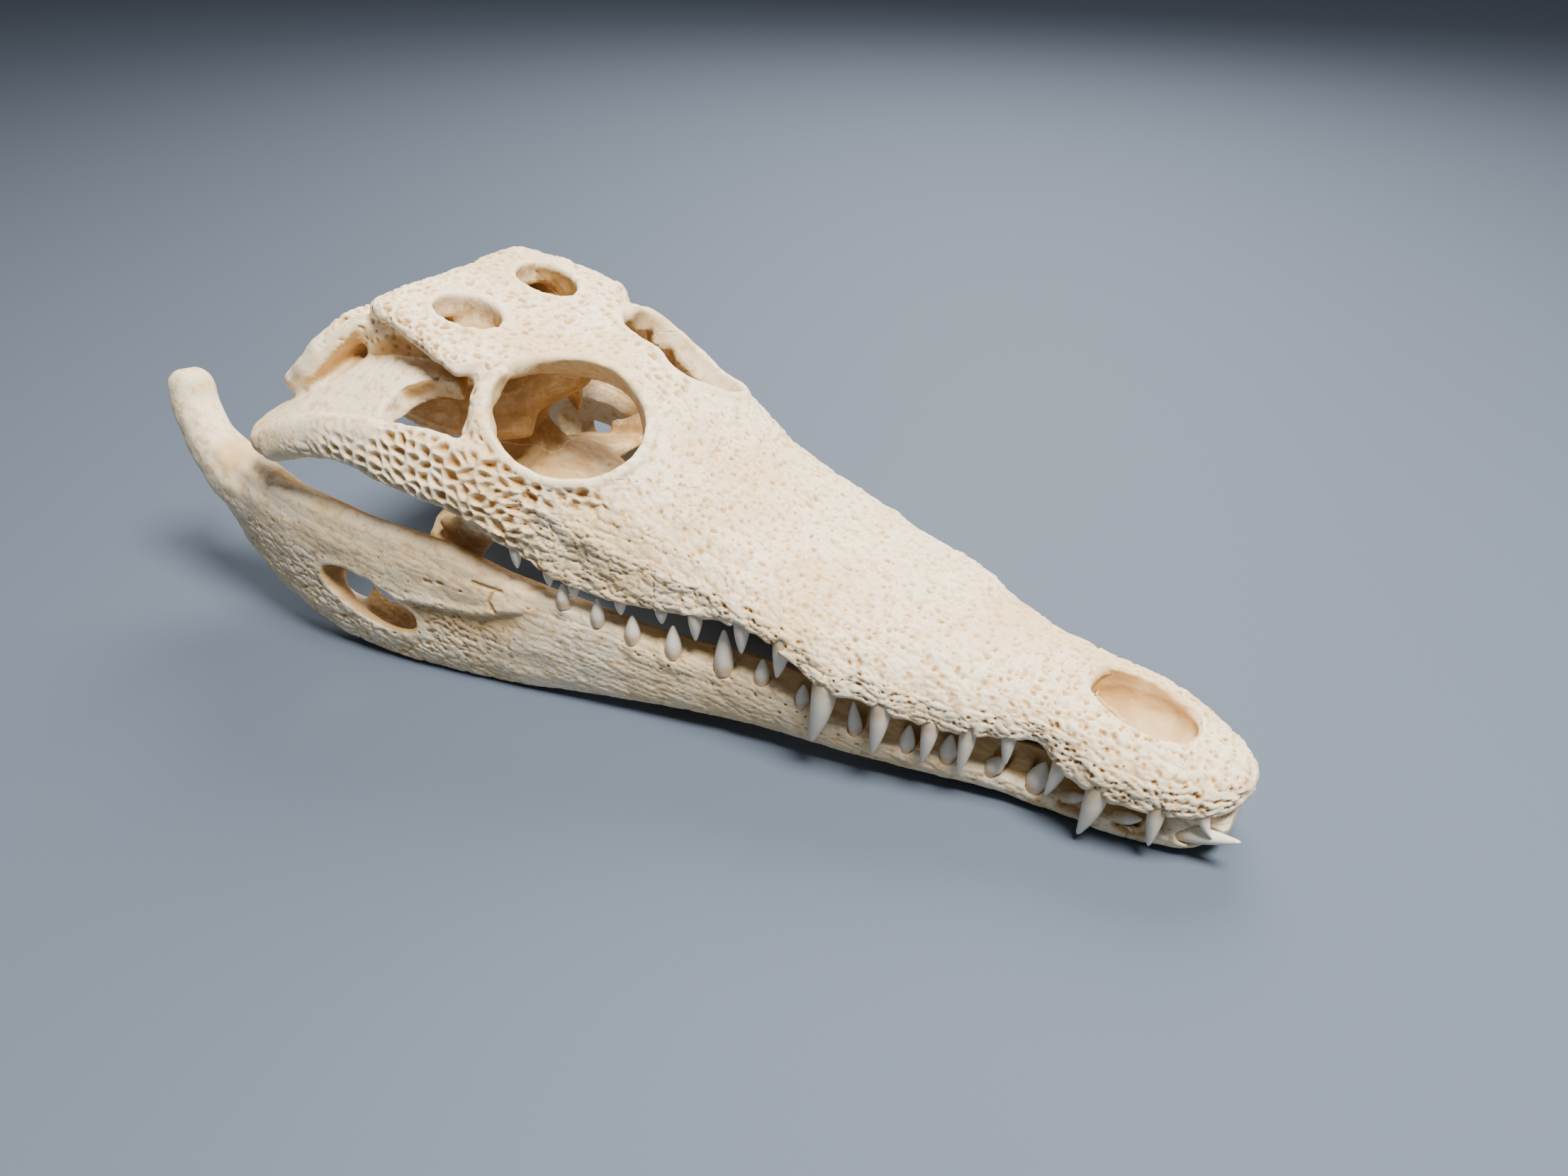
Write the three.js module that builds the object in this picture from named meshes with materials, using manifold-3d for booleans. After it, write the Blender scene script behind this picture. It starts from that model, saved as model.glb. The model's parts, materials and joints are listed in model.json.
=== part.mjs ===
// Crocodile skull with its lower jaw closed, at life size.
// Millimetres, +Z up, snout towards +X, the animal's left side towards +Y.
// The origin is on the floor, under the middle of the skull's box.
// Places are given by their distance behind the snout tip, their side distance and their height.

import * as THREE from 'three';
import { mergeVertices } from 'three/addons/utils/BufferGeometryUtils.js';
import Module from 'manifold-3d';

const wasm = await Module();
wasm.setup();

// Driving dimensions
const SNOUT_TO_MIDDLE = 179.8;
const SUTURE = 0.3;
const TOOTH_SINK = 4.5;
const TOOTH_SIDES = 5;
const TOOTH_TIP = 0.3;
const RIGHT = -1;
const LEFT = 1;

// Places along the skull where one bone ends and the next begins
const NOTCH = 51;
const MAXILLA_END = 166;
const JUGAL_END = 262;
const PALATINE_END = 214;
const DENTARY_END = 206;
const ARTICULAR_START = 313;
const SYMPHYSIS_END = 50;
const PALATE_HEIGHT = 60;
const STRUT_SIDE = 38.5;

// Thickness of the bone round the hollow behind the snout, and where that hollow starts
const CHEEK_WALL_THICK = 7.5;
const ROOF_THICK = 8;
const HOLLOW_START = 186;
const HOLLOW_DEPTH = 40;

// How far above the tooth line the snout is widest, and how far below it the palate lies
const GUM_RISE = 2.5;
const PALATE_DROP = 1.5;

const at = (behind, side, height) => new THREE.Vector3(SNOUT_TO_MIDDLE - behind, side, height);

// A smooth curve through pairs of a place and a value
function profile(pairs) {
  const points = pairs.map(([place, value]) => new THREE.Vector3(place, value, 0));
  const slope = points.map((p, i) => {
    const a = points[Math.max(i - 1, 0)];
    const b = points[Math.min(i + 1, points.length - 1)];
    return (b.y - a.y) / (b.x - a.x);
  });
  return (place) => {
    let i = points.findIndex((p) => p.x > place) - 1;
    if (i === -2) i = points.length - 2;
    i = Math.max(i, 0);
    const span = points[i + 1].x - points[i].x;
    const t = Math.min(Math.max((place - points[i].x) / span, 0), 1);
    const u = 1 - t;
    return points[i].y * (1 + 2 * t) * u * u + points[i + 1].y * (3 - 2 * t) * t * t
      + slope[i] * span * t * u * u - slope[i + 1] * span * t * t * u;
  };
}

// A closed mesh with merged vertices, as a solid that can be joined and cut
function toSolid(geometry) {
  geometry.deleteAttribute('normal');
  geometry.deleteAttribute('uv');
  const merged = mergeVertices(geometry, 1e-4);
  const vertProperties = new Float32Array(merged.attributes.position.array);
  const triVerts = new Uint32Array(merged.index.array);
  let volume = 0;
  const corner = (k) => new THREE.Vector3().fromArray(vertProperties, 3 * triVerts[k]);
  for (let k = 0; k < triVerts.length; k += 3) {
    volume += corner(k).dot(corner(k + 1).cross(corner(k + 2)));
  }
  if (volume < 0) {
    for (let k = 0; k < triVerts.length; k += 3) {
      [triVerts[k], triVerts[k + 1]] = [triVerts[k + 1], triVerts[k]];
    }
  }
  return new wasm.Manifold(new wasm.Mesh({ numProp: 3, vertProperties, triVerts }));
}

// One cross-section: a squared ellipse that may rise and drop by different amounts
function section(centre, side, up, { half, rise, drop, square }, count) {
  return Array.from({ length: count }, (_, k) => {
    const angle = (2 * Math.PI * k) / count;
    const c = Math.cos(angle);
    const s = Math.sin(angle);
    const across = half * Math.sign(c) * Math.abs(c) ** (2 / square);
    const along = (s > 0 ? rise : drop) * Math.sign(s) * Math.abs(s) ** (2 / square);
    return centre.clone().addScaledVector(side, across).addScaledVector(up, along);
  });
}

// A solid skinned over a row of cross-sections and closed at both ends
function skin(rings) {
  const count = rings[0].length;
  const centre = (ring) => ring.reduce((sum, p) => sum.add(p), new THREE.Vector3()).divideScalar(count);
  const points = [...rings.flat(), centre(rings[0]), centre(rings.at(-1))];
  const faces = [];
  for (let r = 0; r + 1 < rings.length; r++) {
    for (let k = 0; k < count; k++) {
      const a = r * count + k;
      const b = r * count + ((k + 1) % count);
      faces.push(a, b, a + count, b, b + count, a + count);
    }
  }
  const last = (rings.length - 1) * count;
  for (let k = 0; k < count; k++) {
    const next = (k + 1) % count;
    faces.push(points.length - 2, next, k);
    faces.push(points.length - 1, last + k, last + next);
  }
  const geometry = new THREE.BufferGeometry().setFromPoints(points);
  geometry.setIndex(faces);
  return toSolid(geometry);
}

// A long form with upright cross-sections at every step from one place to another
function longForm({ places, side, half, widest, top, bottom, square = 2.5, count = 24 }) {
  const across = new THREE.Vector3(0, -1, 0);
  const up = new THREE.Vector3(0, 0, 1);
  return skin(places.map((place) => {
    const level = widest(place);
    const size = { half: half(place), rise: top(place) - level, drop: level - bottom(place) };
    const shape = { ...size, square: typeof square === 'function' ? square(place) : square };
    return section(at(place, side(place), level), across, up, shape, count);
  }));
}

// A bar, blade or plate along a curve, with cross-sections square to it
// Each station is a place, a half width along the side direction and a half thickness
function bar({ stations, across, steps, square = 2, count = 10, round = 0.5 }) {
  const curve = (pick) => new THREE.CatmullRomCurve3(stations.map(pick), false, 'centripetal');
  const middle = curve((p) => at(p[0], p[1], p[2]));
  const sizes = curve((p, i) => new THREE.Vector3(p[3], p[4], i * 10));
  const apart = new THREE.Vector3(0, 0, 1e-4);
  const sides = curve((p, i) => new THREE.Vector3(...(p[5] ?? across)).addScaledVector(apart, i));
  const rings = [];
  const ends = round > 0 ? [0.45, 0.85] : [];
  const put = (t, scale, shift) => {
    const u = Math.min(Math.max(t, 0), 1);
    const forward = middle.getTangent(u);
    const side = sides.getPoint(u);
    side.addScaledVector(forward, -side.dot(forward)).normalize();
    const up = new THREE.Vector3().crossVectors(forward, side);
    const size = sizes.getPoint(u);
    const centre = middle.getPoint(u).addScaledVector(forward, shift * round * size.y);
    const ring = { half: size.x * scale, rise: size.y * scale, drop: size.y * scale, square };
    rings.push(section(centre, side, up, ring, count));
  };
  for (const e of [...ends].reverse()) put(0, Math.sqrt(1 - e * e), -e);
  for (let k = 0; k <= steps; k++) put(k / steps, 1, 0);
  for (const e of ends) put(1, Math.sqrt(1 - e * e), e);
  return skin(rings);
}

// An egg shape that cuts openings, with its long, cross and depth directions
function egg(centre, long, cross, radii, around = 20, down = 12) {
  const x = new THREE.Vector3(...long).normalize();
  const z = new THREE.Vector3(...cross).cross(x).normalize();
  const y = new THREE.Vector3().crossVectors(z, x);
  const frame = new THREE.Matrix4().makeBasis(x, y, z).setPosition(centre);
  const shape = new THREE.SphereGeometry(1, around, down);
  shape.scale(...radii);
  shape.applyMatrix4(frame);
  return toSolid(shape);
}

// A tooth: a slim curved cone with its root sunk in the jaw
function tooth(root, direction, bend, length, radius) {
  const rings = [];
  const heights = [-TOOTH_SINK, 0.1 * length, 0.62 * length];
  const widths = [0.85, 1, 0.6];
  const across = new THREE.Vector3(1, 0, 0);
  const up = direction.clone().normalize();
  const side = new THREE.Vector3().crossVectors(up, across).normalize();
  const front = new THREE.Vector3().crossVectors(side, up);
  const place = (height) => {
    const curl = Math.max(height / length, 0) ** 2;
    return root.clone().addScaledVector(up, height).addScaledVector(bend, curl);
  };
  heights.forEach((height, k) => {
    const size = { half: radius * widths[k], rise: radius * widths[k], drop: radius * widths[k], square: 2 };
    rings.push(section(place(height), side, front, size, TOOTH_SIDES));
  });
  const tip = { half: TOOTH_TIP, rise: TOOTH_TIP, drop: TOOTH_TIP, square: 2 };
  rings.push(section(place(length), side, front, tip, TOOTH_SIDES));
  return skin(rings);
}

const join = (solids) => solids.reduce((all, next) => all.add(next));
const both = (make) => [make(RIGHT), make(LEFT)];

// Cuts a solid in two along a plane, with a suture between the halves
function split(solid, direction, point) {
  const normal = new THREE.Vector3(...direction).normalize();
  const offset = normal.dot(point);
  const ahead = solid.trimByPlane(normal.toArray(), offset + SUTURE / 2);
  const behind = solid.trimByPlane(normal.clone().negate().toArray(), -offset + SUTURE / 2);
  return [ahead, behind];
}

// The largest closed body of a solid
function whole(solid) {
  const bodies = solid.decompose();
  return bodies.reduce((best, next) => (next.volume() > best.volume() ? next : best));
}

// Steps from one place to another, closer together near the start when ease is over 1
function stepsBetween(from, to, count, ease = 1) {
  return Array.from({ length: count + 1 }, (_, k) => from + (to - from) * (k / count) ** ease);
}

// Outlines of the upper jaw: half width, tooth line and ridge
const upperHalf = profile([
  [0, 5], [3, 11], [8, 16], [15, 20], [24, 22.8], [33, 24.3], [42, 23.6], [51, 21.8], [57, 22.6],
  [66, 25.8], [77, 29.5], [90, 34], [102, 37.4], [112, 38.8], [122, 38.6], [135, 39.4], [150, 41.3],
  [165, 44], [182, 48], [200, 52], [212, 55], [225, 58],
]);
const toothLine = profile([
  [0, 19], [7, 15.5], [17, 17], [33, 17.5], [42, 20.5], [47, 22], [52, 26], [57, 27], [64, 25],
  [81, 25], [95, 28], [104, 31.5], [113, 30.5], [117, 32.5], [122, 38], [128, 40.5], [135, 43],
  [150, 42], [165, 40.6], [180, 41.4], [191, 42.6], [202, 46.5], [212, 53], [225, 60],
]);
const ridge = profile([
  [0, 24.5], [3, 27], [9, 29.5], [17, 33.5], [30, 37], [42, 39.5], [54, 40.5], [68, 42.3], [80, 44.8],
  [93, 48], [105, 51.3], [115, 53], [126, 55.2], [132, 57], [143, 61.3], [151, 65], [160, 69.8],
  [171, 76.5], [182, 85], [190, 91], [200, 97.5], [212, 99.5], [225, 101],
]);

// Outlines of the lower jaw: outer side, thickness, upper edge and lower edge
const lowerOuter = profile([
  [2, 8], [6, 12], [14, 15], [24, 17.5], [35, 19], [50, 19], [60, 20], [75, 24.5], [90, 29], [105, 33],
  [120, 35.5], [135, 37.5], [150, 40.5], [165, 44], [180, 47.5], [198, 52], [215, 56.5], [232, 60.5],
  [252, 65], [270, 68], [290, 70], [308, 70.5], [320, 69], [335, 65.5], [345, 63],
]);
const lowerThick = profile([
  [2, 9], [10, 12], [30, 18], [45, 18], [60, 14], [80, 13], [120, 13], [165, 12.5], [215, 11.5],
  [260, 12], [300, 15], [320, 18], [335, 16], [345, 14],
]);
const lowerTop = profile([
  [2, 12.5], [8, 14], [20, 15.3], [35, 15.6], [50, 16], [60, 17.5], [75, 19], [90, 20.5], [105, 23],
  [118, 24.5], [131, 27.5], [145, 28], [161, 29], [175, 31], [186, 34], [198, 37], [215, 41],
  [233, 47.5], [242, 50.5], [257, 51], [270, 52.8], [286, 54.5], [300, 55.5], [312, 57], [325, 57.5],
  [335, 58], [345, 62],
]);
const lowerBottom = profile([
  [2, 6], [8, 2.8], [18, 0.4], [28, -0.6], [45, -0.6], [60, 1], [80, 3], [105, 4.4], [135, 4.6], [162, 4.3],
  [185, 2.8], [200, 1.2], [218, -0.6], [270, -0.6], [284, 1.4], [298, 5.4], [315, 12], [331, 21], [345, 35],
]);

// How far up its side the lower jaw is widest, and where its teeth stand
const lowerGirth = profile([[2, 0.35], [40, 0.33], [80, 0.4], [120, 0.5], [345, 0.5]]);
const lowerGum = profile([
  [7, 7.5], [24, 7.5], [52, 9], [66, 10.5], [78, 12.5], [90, 13], [104, 15.5], [122, 21], [135, 25],
  [147, 26], [163, 28], [175, 30], [196, 38],
]);

// The long dome of the skull from the snout tip to behind the eyes
function skullDome() {
  const places = [...stepsBetween(0, 24, 5, 1.5), ...stepsBetween(34, 222, 20)];
  return longForm({
    places,
    side: () => 0,
    half: upperHalf,
    widest: (s) => toothLine(s) + GUM_RISE,
    top: ridge,
    bottom: (s) => toothLine(s) - PALATE_DROP,
    count: 20,
  });
}

// The hollow inside the dome, between the eyes and the palate
function domeHollow() {
  const opened = (s) => Math.min(1, 0.55 + 0.05 * (s - HOLLOW_START));
  const lowering = (s) => Math.max(0, HOLLOW_START + 12 - s);
  return longForm({
    places: stepsBetween(HOLLOW_START, 240, 4),
    side: () => 0,
    half: (s) => (upperHalf(s) - CHEEK_WALL_THICK) * opened(s),
    widest: (s) => toothLine(s) + 6,
    top: (s) => ridge(s) - ROOF_THICK - lowering(s),
    bottom: (s) => toothLine(s) - HOLLOW_DEPTH,
    square: 3,
    count: 10,
  });
}

// The opening of one eye
function orbit(hand) {
  const centre = at(204.6, 31 * hand, 91.5);
  const long = [-41.3, 12 * hand, 11.5];
  const cross = [9.3, -29 * hand, 18.5];
  return egg(centre, long, cross, [24.4, 20.8, 36], 18, 10);
}

// The opening of the nose, on top of the snout
const nostril = egg(at(30, 0, 37), [1, 0, -0.05], [0, 1, 0], [15.5, 10.5, 11], 12, 8);

// The flat roof between and behind the eyes, with its two upper openings
function skullTable() {
  const half = profile([
    [186, 9], [194, 13.5], [202, 17], [212, 18], [221, 18.5], [228, 25], [233, 34], [238, 41], [243, 41.2],
    [252, 39.8], [265, 37.5], [277, 36], [281, 33],
  ]);
  const top = profile([
    [186, 85], [194, 92.4], [202, 98.2], [212, 100], [225, 101.5], [238, 104.5], [252, 108.7],
    [265, 111.5], [279, 113.5], [281, 112.5],
  ]);
  return longForm({
    places: [186, 194, 202, 212, 220, 226, 231, 235, 239, 245, 255, 266, 275, 279, 281],
    side: () => 0,
    half,
    widest: (s) => top(s) - 4.5,
    top,
    bottom: (s) => top(s) - 8.5,
    square: 4,
    count: 16,
  });
}
const upperOpening = (hand) => egg(at(254.5, 18.4 * hand, 106), [-1, 0.1 * hand, 0.28], [0, 1, 0.1 * hand],
  [12.6, 9.8, 22], 12, 6);

// The bar behind the eye, from the roof down to the cheek
const postorbitalBar = (hand) => bar({
  stations: [
    [232.5, 32 * hand, 96.5, 6.4, 3.6], [229.5, 38.5 * hand, 91.5, 5.2, 3.8],
    [227, 46 * hand, 84.5, 4.6, 3.8], [226, 52.5 * hand, 76, 6.5, 4.2],
  ],
  across: [1, 0.3 * hand, 0],
  steps: 5,
  count: 8,
});

// The side opening behind that bar, through the sheet of the quadrate
const sideOpening = (hand) => egg(at(244.5, 49 * hand, 87.7), [-1, 0.1 * hand, 0], [0, 0.9 * hand, -0.42],
  [17.5, 14, 16], 12, 6);

// The cheek bar under the eye, back to the jaw joint
const cheek = (hand) => bar({
  stations: [
    [194, 42 * hand, 61, 11, 3.4], [204, 47.2 * hand, 64.5, 13.5, 3.6], [215, 52 * hand, 69.8, 12.8, 3.6],
    [228, 55.5 * hand, 74.4, 11, 3.6], [240, 58.5 * hand, 77.2, 10.8, 3.6],
    [252, 61.4 * hand, 79, 9.3, 3.6], [266, 63.2 * hand, 80.6, 7.7, 3.8],
    [282, 64.8 * hand, 77.4, 6.5, 4.2], [300, 65 * hand, 70.5, 6, 5],
  ],
  across: [0, -0.3 * hand, 1],
  steps: 10,
  count: 10,
  square: 2.4,
});

// The quadrate: a slanting sheet that runs back and out to the jaw joint
const quadrateSheet = (hand) => bar({
  stations: [
    [246, 34 * hand, 91, 13, 3.4, [0, 0.9 * hand, -0.4]],
    [262, 42 * hand, 88, 18, 3.8, [0, 0.88 * hand, -0.46]],
    [284, 48.5 * hand, 82, 18.5, 4.4, [0, 0.86 * hand, -0.5]],
    [299, 53.8 * hand, 75, 14.5, 5.5, [0, 0.9 * hand, -0.4]],
    [310, 57 * hand, 68.2, 11, 6.2, [0, 0.96 * hand, -0.25]],
  ],
  steps: 7,
  count: 10,
  square: 2.3,
  round: 0.8,
});

// The thin inner wing from the braincase out to the quadrate
const innerWing = (hand) => bar({
  stations: [
    [238, 11 * hand, 76, 12, 2.6], [250, 20 * hand, 76, 12.5, 2.6], [262, 28.5 * hand, 78.5, 10.5, 2.6],
    [274, 36 * hand, 83, 6.5, 2.6], [284, 41.5 * hand, 85, 4, 2.6],
  ],
  across: [0, 0, 1],
  steps: 4,
  count: 6,
});

// The wall between the ear recess and the upper opening
const earWall = (hand) => bar({
  stations: [
    [248, 29 * hand, 97, 9, 2.4], [266, 31 * hand, 97.5, 9, 2.4], [284, 33 * hand, 99, 8.5, 2.4],
  ],
  across: [0, 0, 1],
  steps: 2,
  count: 6,
});

// The braincase under the roof, with the knob that the neck turned on
function braincase() {
  const core = longForm({
    places: [222, 232, 240, 249, 262, 278, 287, 292],
    side: () => 0,
    half: profile([[222, 5], [230, 10], [245, 13], [262, 17], [280, 22], [292, 19]]),
    widest: profile([[222, 91], [240, 86], [292, 86.6]]),
    top: profile([[222, 99], [240, 101], [252, 103], [276, 109], [286, 106], [292, 98]]),
    bottom: profile([[222, 84], [235, 77], [243, 71], [250, 65], [262, 59], [272, 60], [286, 66], [292, 72]]),
    square: 2.6,
    count: 12,
  });
  const knob = egg(at(297, 0, 79), [-1, 0, -0.3], [0, 1, 0], [8, 6.5, 6], 8, 6);
  return core.add(knob);
}

// The back wall of the skull, out to the tip of the wing behind each ear
const backWing = (hand) => bar({
  stations: [
    [288, 0, 97, 13, 4, [0.5, 0, 0.86]], [289, 18 * hand, 97, 13, 4, [0.5, 0, 0.86]],
    [292, 32 * hand, 97, 14, 4.4, [0.62, 0, 0.78]], [299, 41 * hand, 90, 12.5, 5, [0.72, 0.1 * hand, 0.7]],
    [305, 47.5 * hand, 83, 6.5, 5, [0.8, 0.2 * hand, 0.6]],
  ],
  steps: 6,
  count: 10,
  square: 2.6,
});

// The hole at the back for the spinal cord
const spinalHole = () => egg(at(294, 0, 89), [1, 0, -0.2], [0, 1, 0], [14, 5.6, 4.6], 10, 6);

// The palate: a bar along the middle, broad wings behind it and a strut out to each cheek
const palatineBar = () => longForm({
  places: stepsBetween(176, 238, 5),
  side: () => 0,
  half: profile([[176, 18], [190, 12.5], [208, 10.5], [222, 13], [238, 20]]),
  widest: () => 49,
  top: profile([[176, 54], [200, 53], [222, 57], [238, 60]]),
  bottom: profile([[176, 42], [200, 44], [222, 43.5], [238, 42]]),
  square: 3,
  count: 12,
});
const pterygoidWing = (hand) => bar({
  stations: [
    [240, 0, 52, 15, 7, [-1, 0, 0]], [242, 14 * hand, 50.5, 17, 4, [-1, 0, -0.1]],
    [247, 29 * hand, 45.8, 16.5, 2.6, [-1, 0.1 * hand, -0.2]],
    [251, 39 * hand, 41.5, 12.5, 2.4, [-1, 0.3 * hand, -0.3]],
    [253, 45 * hand, 38, 6, 2.2, [-1, 0.5 * hand, -0.35]],
  ],
  steps: 5,
  count: 10,
  square: 2.8,
});
const pterygoidPillar = () => longForm({
  places: [240, 246, 253, 262, 270],
  side: () => 0,
  half: profile([[240, 5], [250, 10], [270, 9]]),
  widest: () => 55,
  top: () => 66,
  bottom: profile([[236, 48], [250, 46], [270, 54]]),
  square: 2.6,
  count: 12,
});
const ectopterygoid = (hand) => bar({
  stations: [
    [222, 53 * hand, 62.5, 9, 3.4, [1, 0, 0.3]], [229, 47 * hand, 54.5, 6, 3.4, [1, 0, 0.2]],
    [239, 43.5 * hand, 46, 7, 3.2, [1, 0, 0]], [247, 41.5 * hand, 40.5, 9, 3, [1, 0, 0]],
  ],
  steps: 5,
  count: 8,
});

// Upper teeth as [place behind the snout tip, crown length, radius at the gum, swing forwards]
const UPPER_TEETH = [
  [8, 5, 1.7, 3], [19, 12, 2.3, 0], [34.5, 15.5, 3.1, -2], [46, 12, 2.2, -2], [61, 10, 2.1, 0],
  [71.5, 14.5, 2.4, -1], [81.5, 13, 2.5, -1], [95, 15.5, 2.9, -1], [111.5, 19.5, 3.7, -2],
  [126, 11, 2.7, -1], [139, 9.5, 2.5, 0], [154, 8, 2.3, 0], [165, 4, 2, 0], [178, 4.5, 2, 0],
  [193, 4, 1.9, 0], [201, 4.2, 1.8, 0], [211, 6, 2, 0],
];
// Lower teeth as [place behind the snout tip, crown length, radius at the gum, lean forwards in degrees]
const LOWER_TEETH = [
  [12, 15, 2.7, 76], [53, 8, 3.2, 12], [65.5, 5.5, 2.7, 35], [78, 7, 2.6, 4], [89.5, 7.5, 2.4, 4],
  [104.5, 9, 2.2, -6], [121, 5.5, 2.2, 4], [134, 6.5, 2.3, 3], [146, 13, 3, 2], [162, 8.5, 2.6, 2],
  [175, 7, 2.4, 2], [186, 6.5, 2.2, 2], [197, 5.5, 2, 2],
];
const UPPER_TOOTH_INSET = 2.6;
const LOWER_TOOTH_INSET = 2.8;

// A set of varied sizes that is the same each time
function seeded(seed) {
  let state = seed;
  return () => {
    state = (state * 16807) % 2147483647;
    return state / 2147483647;
  };
}

const upperTeeth = (hand) => {
  const random = seeded(hand === RIGHT ? 11 : 29);
  return UPPER_TEETH.map(([place, length, radius, swing]) => {
    const vary = hand === RIGHT ? 1 : 0.9 + 0.15 * random();
    const root = at(place, hand * (upperHalf(place) - UPPER_TOOTH_INSET), toothLine(place) + 1.2);
    const down = new THREE.Vector3(0.03 * swing, 0.1 * hand, -1);
    return tooth(root, down, new THREE.Vector3(swing, -0.4 * hand, 0), length * vary + 1.2, radius);
  });
};
const lowerTeeth = (hand) => {
  const random = seeded(hand === RIGHT ? 17 : 43);
  return LOWER_TEETH.map(([place, length, radius, lean]) => {
    const vary = hand === RIGHT ? 1 : 0.88 + 0.15 * random();
    const root = at(place, hand * (lowerOuter(place) - LOWER_TOOTH_INSET), lowerGum(place));
    const angle = THREE.MathUtils.degToRad(lean);
    const up = new THREE.Vector3(Math.sin(angle), 0.04 * hand, Math.cos(angle));
    return tooth(root, up, new THREE.Vector3(0, -0.4 * hand, 0.3), length * vary, radius);
  });
};

// One side of the lower jaw, before it is divided
function jawSide(hand) {
  const places = [2, 4, 8, 14, 22, ...stepsBetween(34, 345, 20)];
  const body = longForm({
    places,
    side: (s) => hand * (lowerOuter(s) - lowerThick(s) / 2),
    half: (s) => lowerThick(s) / 2,
    widest: (s) => lowerBottom(s) + lowerGirth(s) * (lowerTop(s) - lowerBottom(s)),
    top: lowerTop,
    bottom: lowerBottom,
    square: profile([[2, 2], [60, 2], [115, 2.3], [150, 2.7], [345, 2.7]]),
    count: 12,
  });
  const chin = longForm({
    places: stepsBetween(4, SYMPHYSIS_END + 6, 6),
    side: (s) => hand * 0.35 * lowerOuter(s),
    half: profile([[4, 4], [10, 5.5], [40, 7], [50, 4], [56, 2]]),
    widest: () => 8,
    top: profile([[4, 12], [15, 14.8], [40, 15.4], [56, 13]]),
    bottom: profile([[4, 4], [12, 1.2], [28, -0.6], [46, -0.6], [56, 3]]),
    square: 2.7,
    count: 10,
  });
  const heel = bar({
    stations: [
      [318, 61 * hand, 42, 13, 8, [1, 0, 1]], [334, 60.5 * hand, 46.5, 11, 8, [1, 0, 0.8]],
      [346, 58.5 * hand, 56, 9, 7.5, [1, 0, 0.5]], [353, 56.5 * hand, 66, 7.6, 7.4, [1, 0, 0.3]],
      [355.5, 55 * hand, 73.5, 6.8, 7, [1, 0, 0.2]],
    ],
    steps: 7,
    count: 10,
    square: 2.3,
    round: 0.9,
  });
  const socket = bar({
    stations: [
      [311, 45 * hand, 69, 8.4, 6.7], [311, 57 * hand, 68.3, 8.4, 6.7], [311, 73 * hand, 65.8, 8.4, 6.7],
    ],
    across: [1, 0, 0],
    steps: 2,
    count: 12,
    round: 0,
  });
  const window = egg(at(267, 67 * hand, 23.3), [-1, 0, 0.36], [0.36, 0, 1], [19.5, 8.3, 22], 12, 8);
  const fossa = egg(at(266, 55.5 * hand, 32), [-1, 0.08 * hand, 0.1], [0, 1, 0], [27, 7.5, 14.5], 12, 6);
  const hollow = egg(at(268, 60.5 * hand, 21), [-1, 0, 0.36], [0, 1, 0], [19, 5.5, 11], 12, 6);
  const innerWindow = egg(at(287, 56 * hand, 19), [-1, 0, 0.3], [0, 1, 0], [10, 9, 6.5], 12, 6);
  const holes = [socket, window, fossa, hollow, innerWindow];
  return holes.reduce((solid, hole) => solid.subtract(hole), join([body, chin, heel]));
}

const bone = new THREE.MeshStandardMaterial({ color: 0xe9dfc8, roughness: 0.62, metalness: 0 });
const browned = new THREE.MeshStandardMaterial({ color: 0xc9a679, roughness: 0.68, metalness: 0 });
const skull = new THREE.Group();

// Adds one bone to the skull as a named mesh
function addBone(name, solid, material = bone) {
  const mesh = whole(solid).getMesh();
  const geometry = new THREE.BufferGeometry();
  const corners = mesh.numProp;
  const points = new Float32Array((mesh.vertProperties.length / corners) * 3);
  for (let k = 0; k < points.length / 3; k++) {
    points.set(mesh.vertProperties.subarray(k * corners, k * corners + 3), 3 * k);
  }
  geometry.setAttribute('position', new THREE.BufferAttribute(points, 3));
  geometry.setIndex(new THREE.BufferAttribute(new Uint32Array(mesh.triVerts), 1));
  geometry.computeVertexNormals();
  const node = new THREE.Mesh(geometry, material);
  node.name = name;
  skull.add(node);
}

// The cranium is joined whole, then parted along the seams between its bones
const domeShell = skullDome().subtract(domeHollow());
const hoodedShell = join([domeShell, skullTable(), ...both(postorbitalBar), ...both(cheek)]);
const holes = [...both(orbit), ...both(upperOpening)];
const opened = holes.reduce((solid, hole) => solid.subtract(hole), hoodedShell);
const openedQuadrate = (hand) => quadrateSheet(hand).subtract(sideOpening(hand));
const cranium = join([
  opened.subtract(nostril), ...both(openedQuadrate), braincase(), ...both(innerWing), ...both(earWall),
  ...both(backWing), palatineBar(),
  ...both(pterygoidWing), pterygoidPillar(), ...both(ectopterygoid), ...both(upperTeeth).flat(),
]).subtract(spinalHole());

// The plane under the roof slopes down towards the snout
const ROOF_SLOPE = [0.3, 0, 1];
const ROOF_POINT = at(238, 0, 93.5);
const [premaxilla, afterNotch] = split(cranium, [1, 0, 0], at(NOTCH, 0, 0));
const [maxilla, rear] = split(afterNotch, [1, 0, 0], at(MAXILLA_END, 0, 0));
const [roof, underRoof] = split(rear, ROOF_SLOPE, ROOF_POINT);
addBone('premaxilla', premaxilla);
addBone('maxilla', maxilla);
addBone('skull_roof', roof);

// A box that is turned about the upright axis and marks the place of one bone
function cell(centre, size, turn) {
  const box = new THREE.BoxGeometry(...size);
  box.rotateZ(turn);
  box.translate(centre.x, centre.y, centre.z);
  return toSolid(box);
}

// Parts a solid into what lies in a cell and what lies outside it
function carve(solid, centre, size, turn) {
  const grown = size.map((length) => length + 2 * SUTURE);
  return [solid.intersect(cell(centre, size, turn)), solid.subtract(cell(centre, grown, turn))];
}

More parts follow.
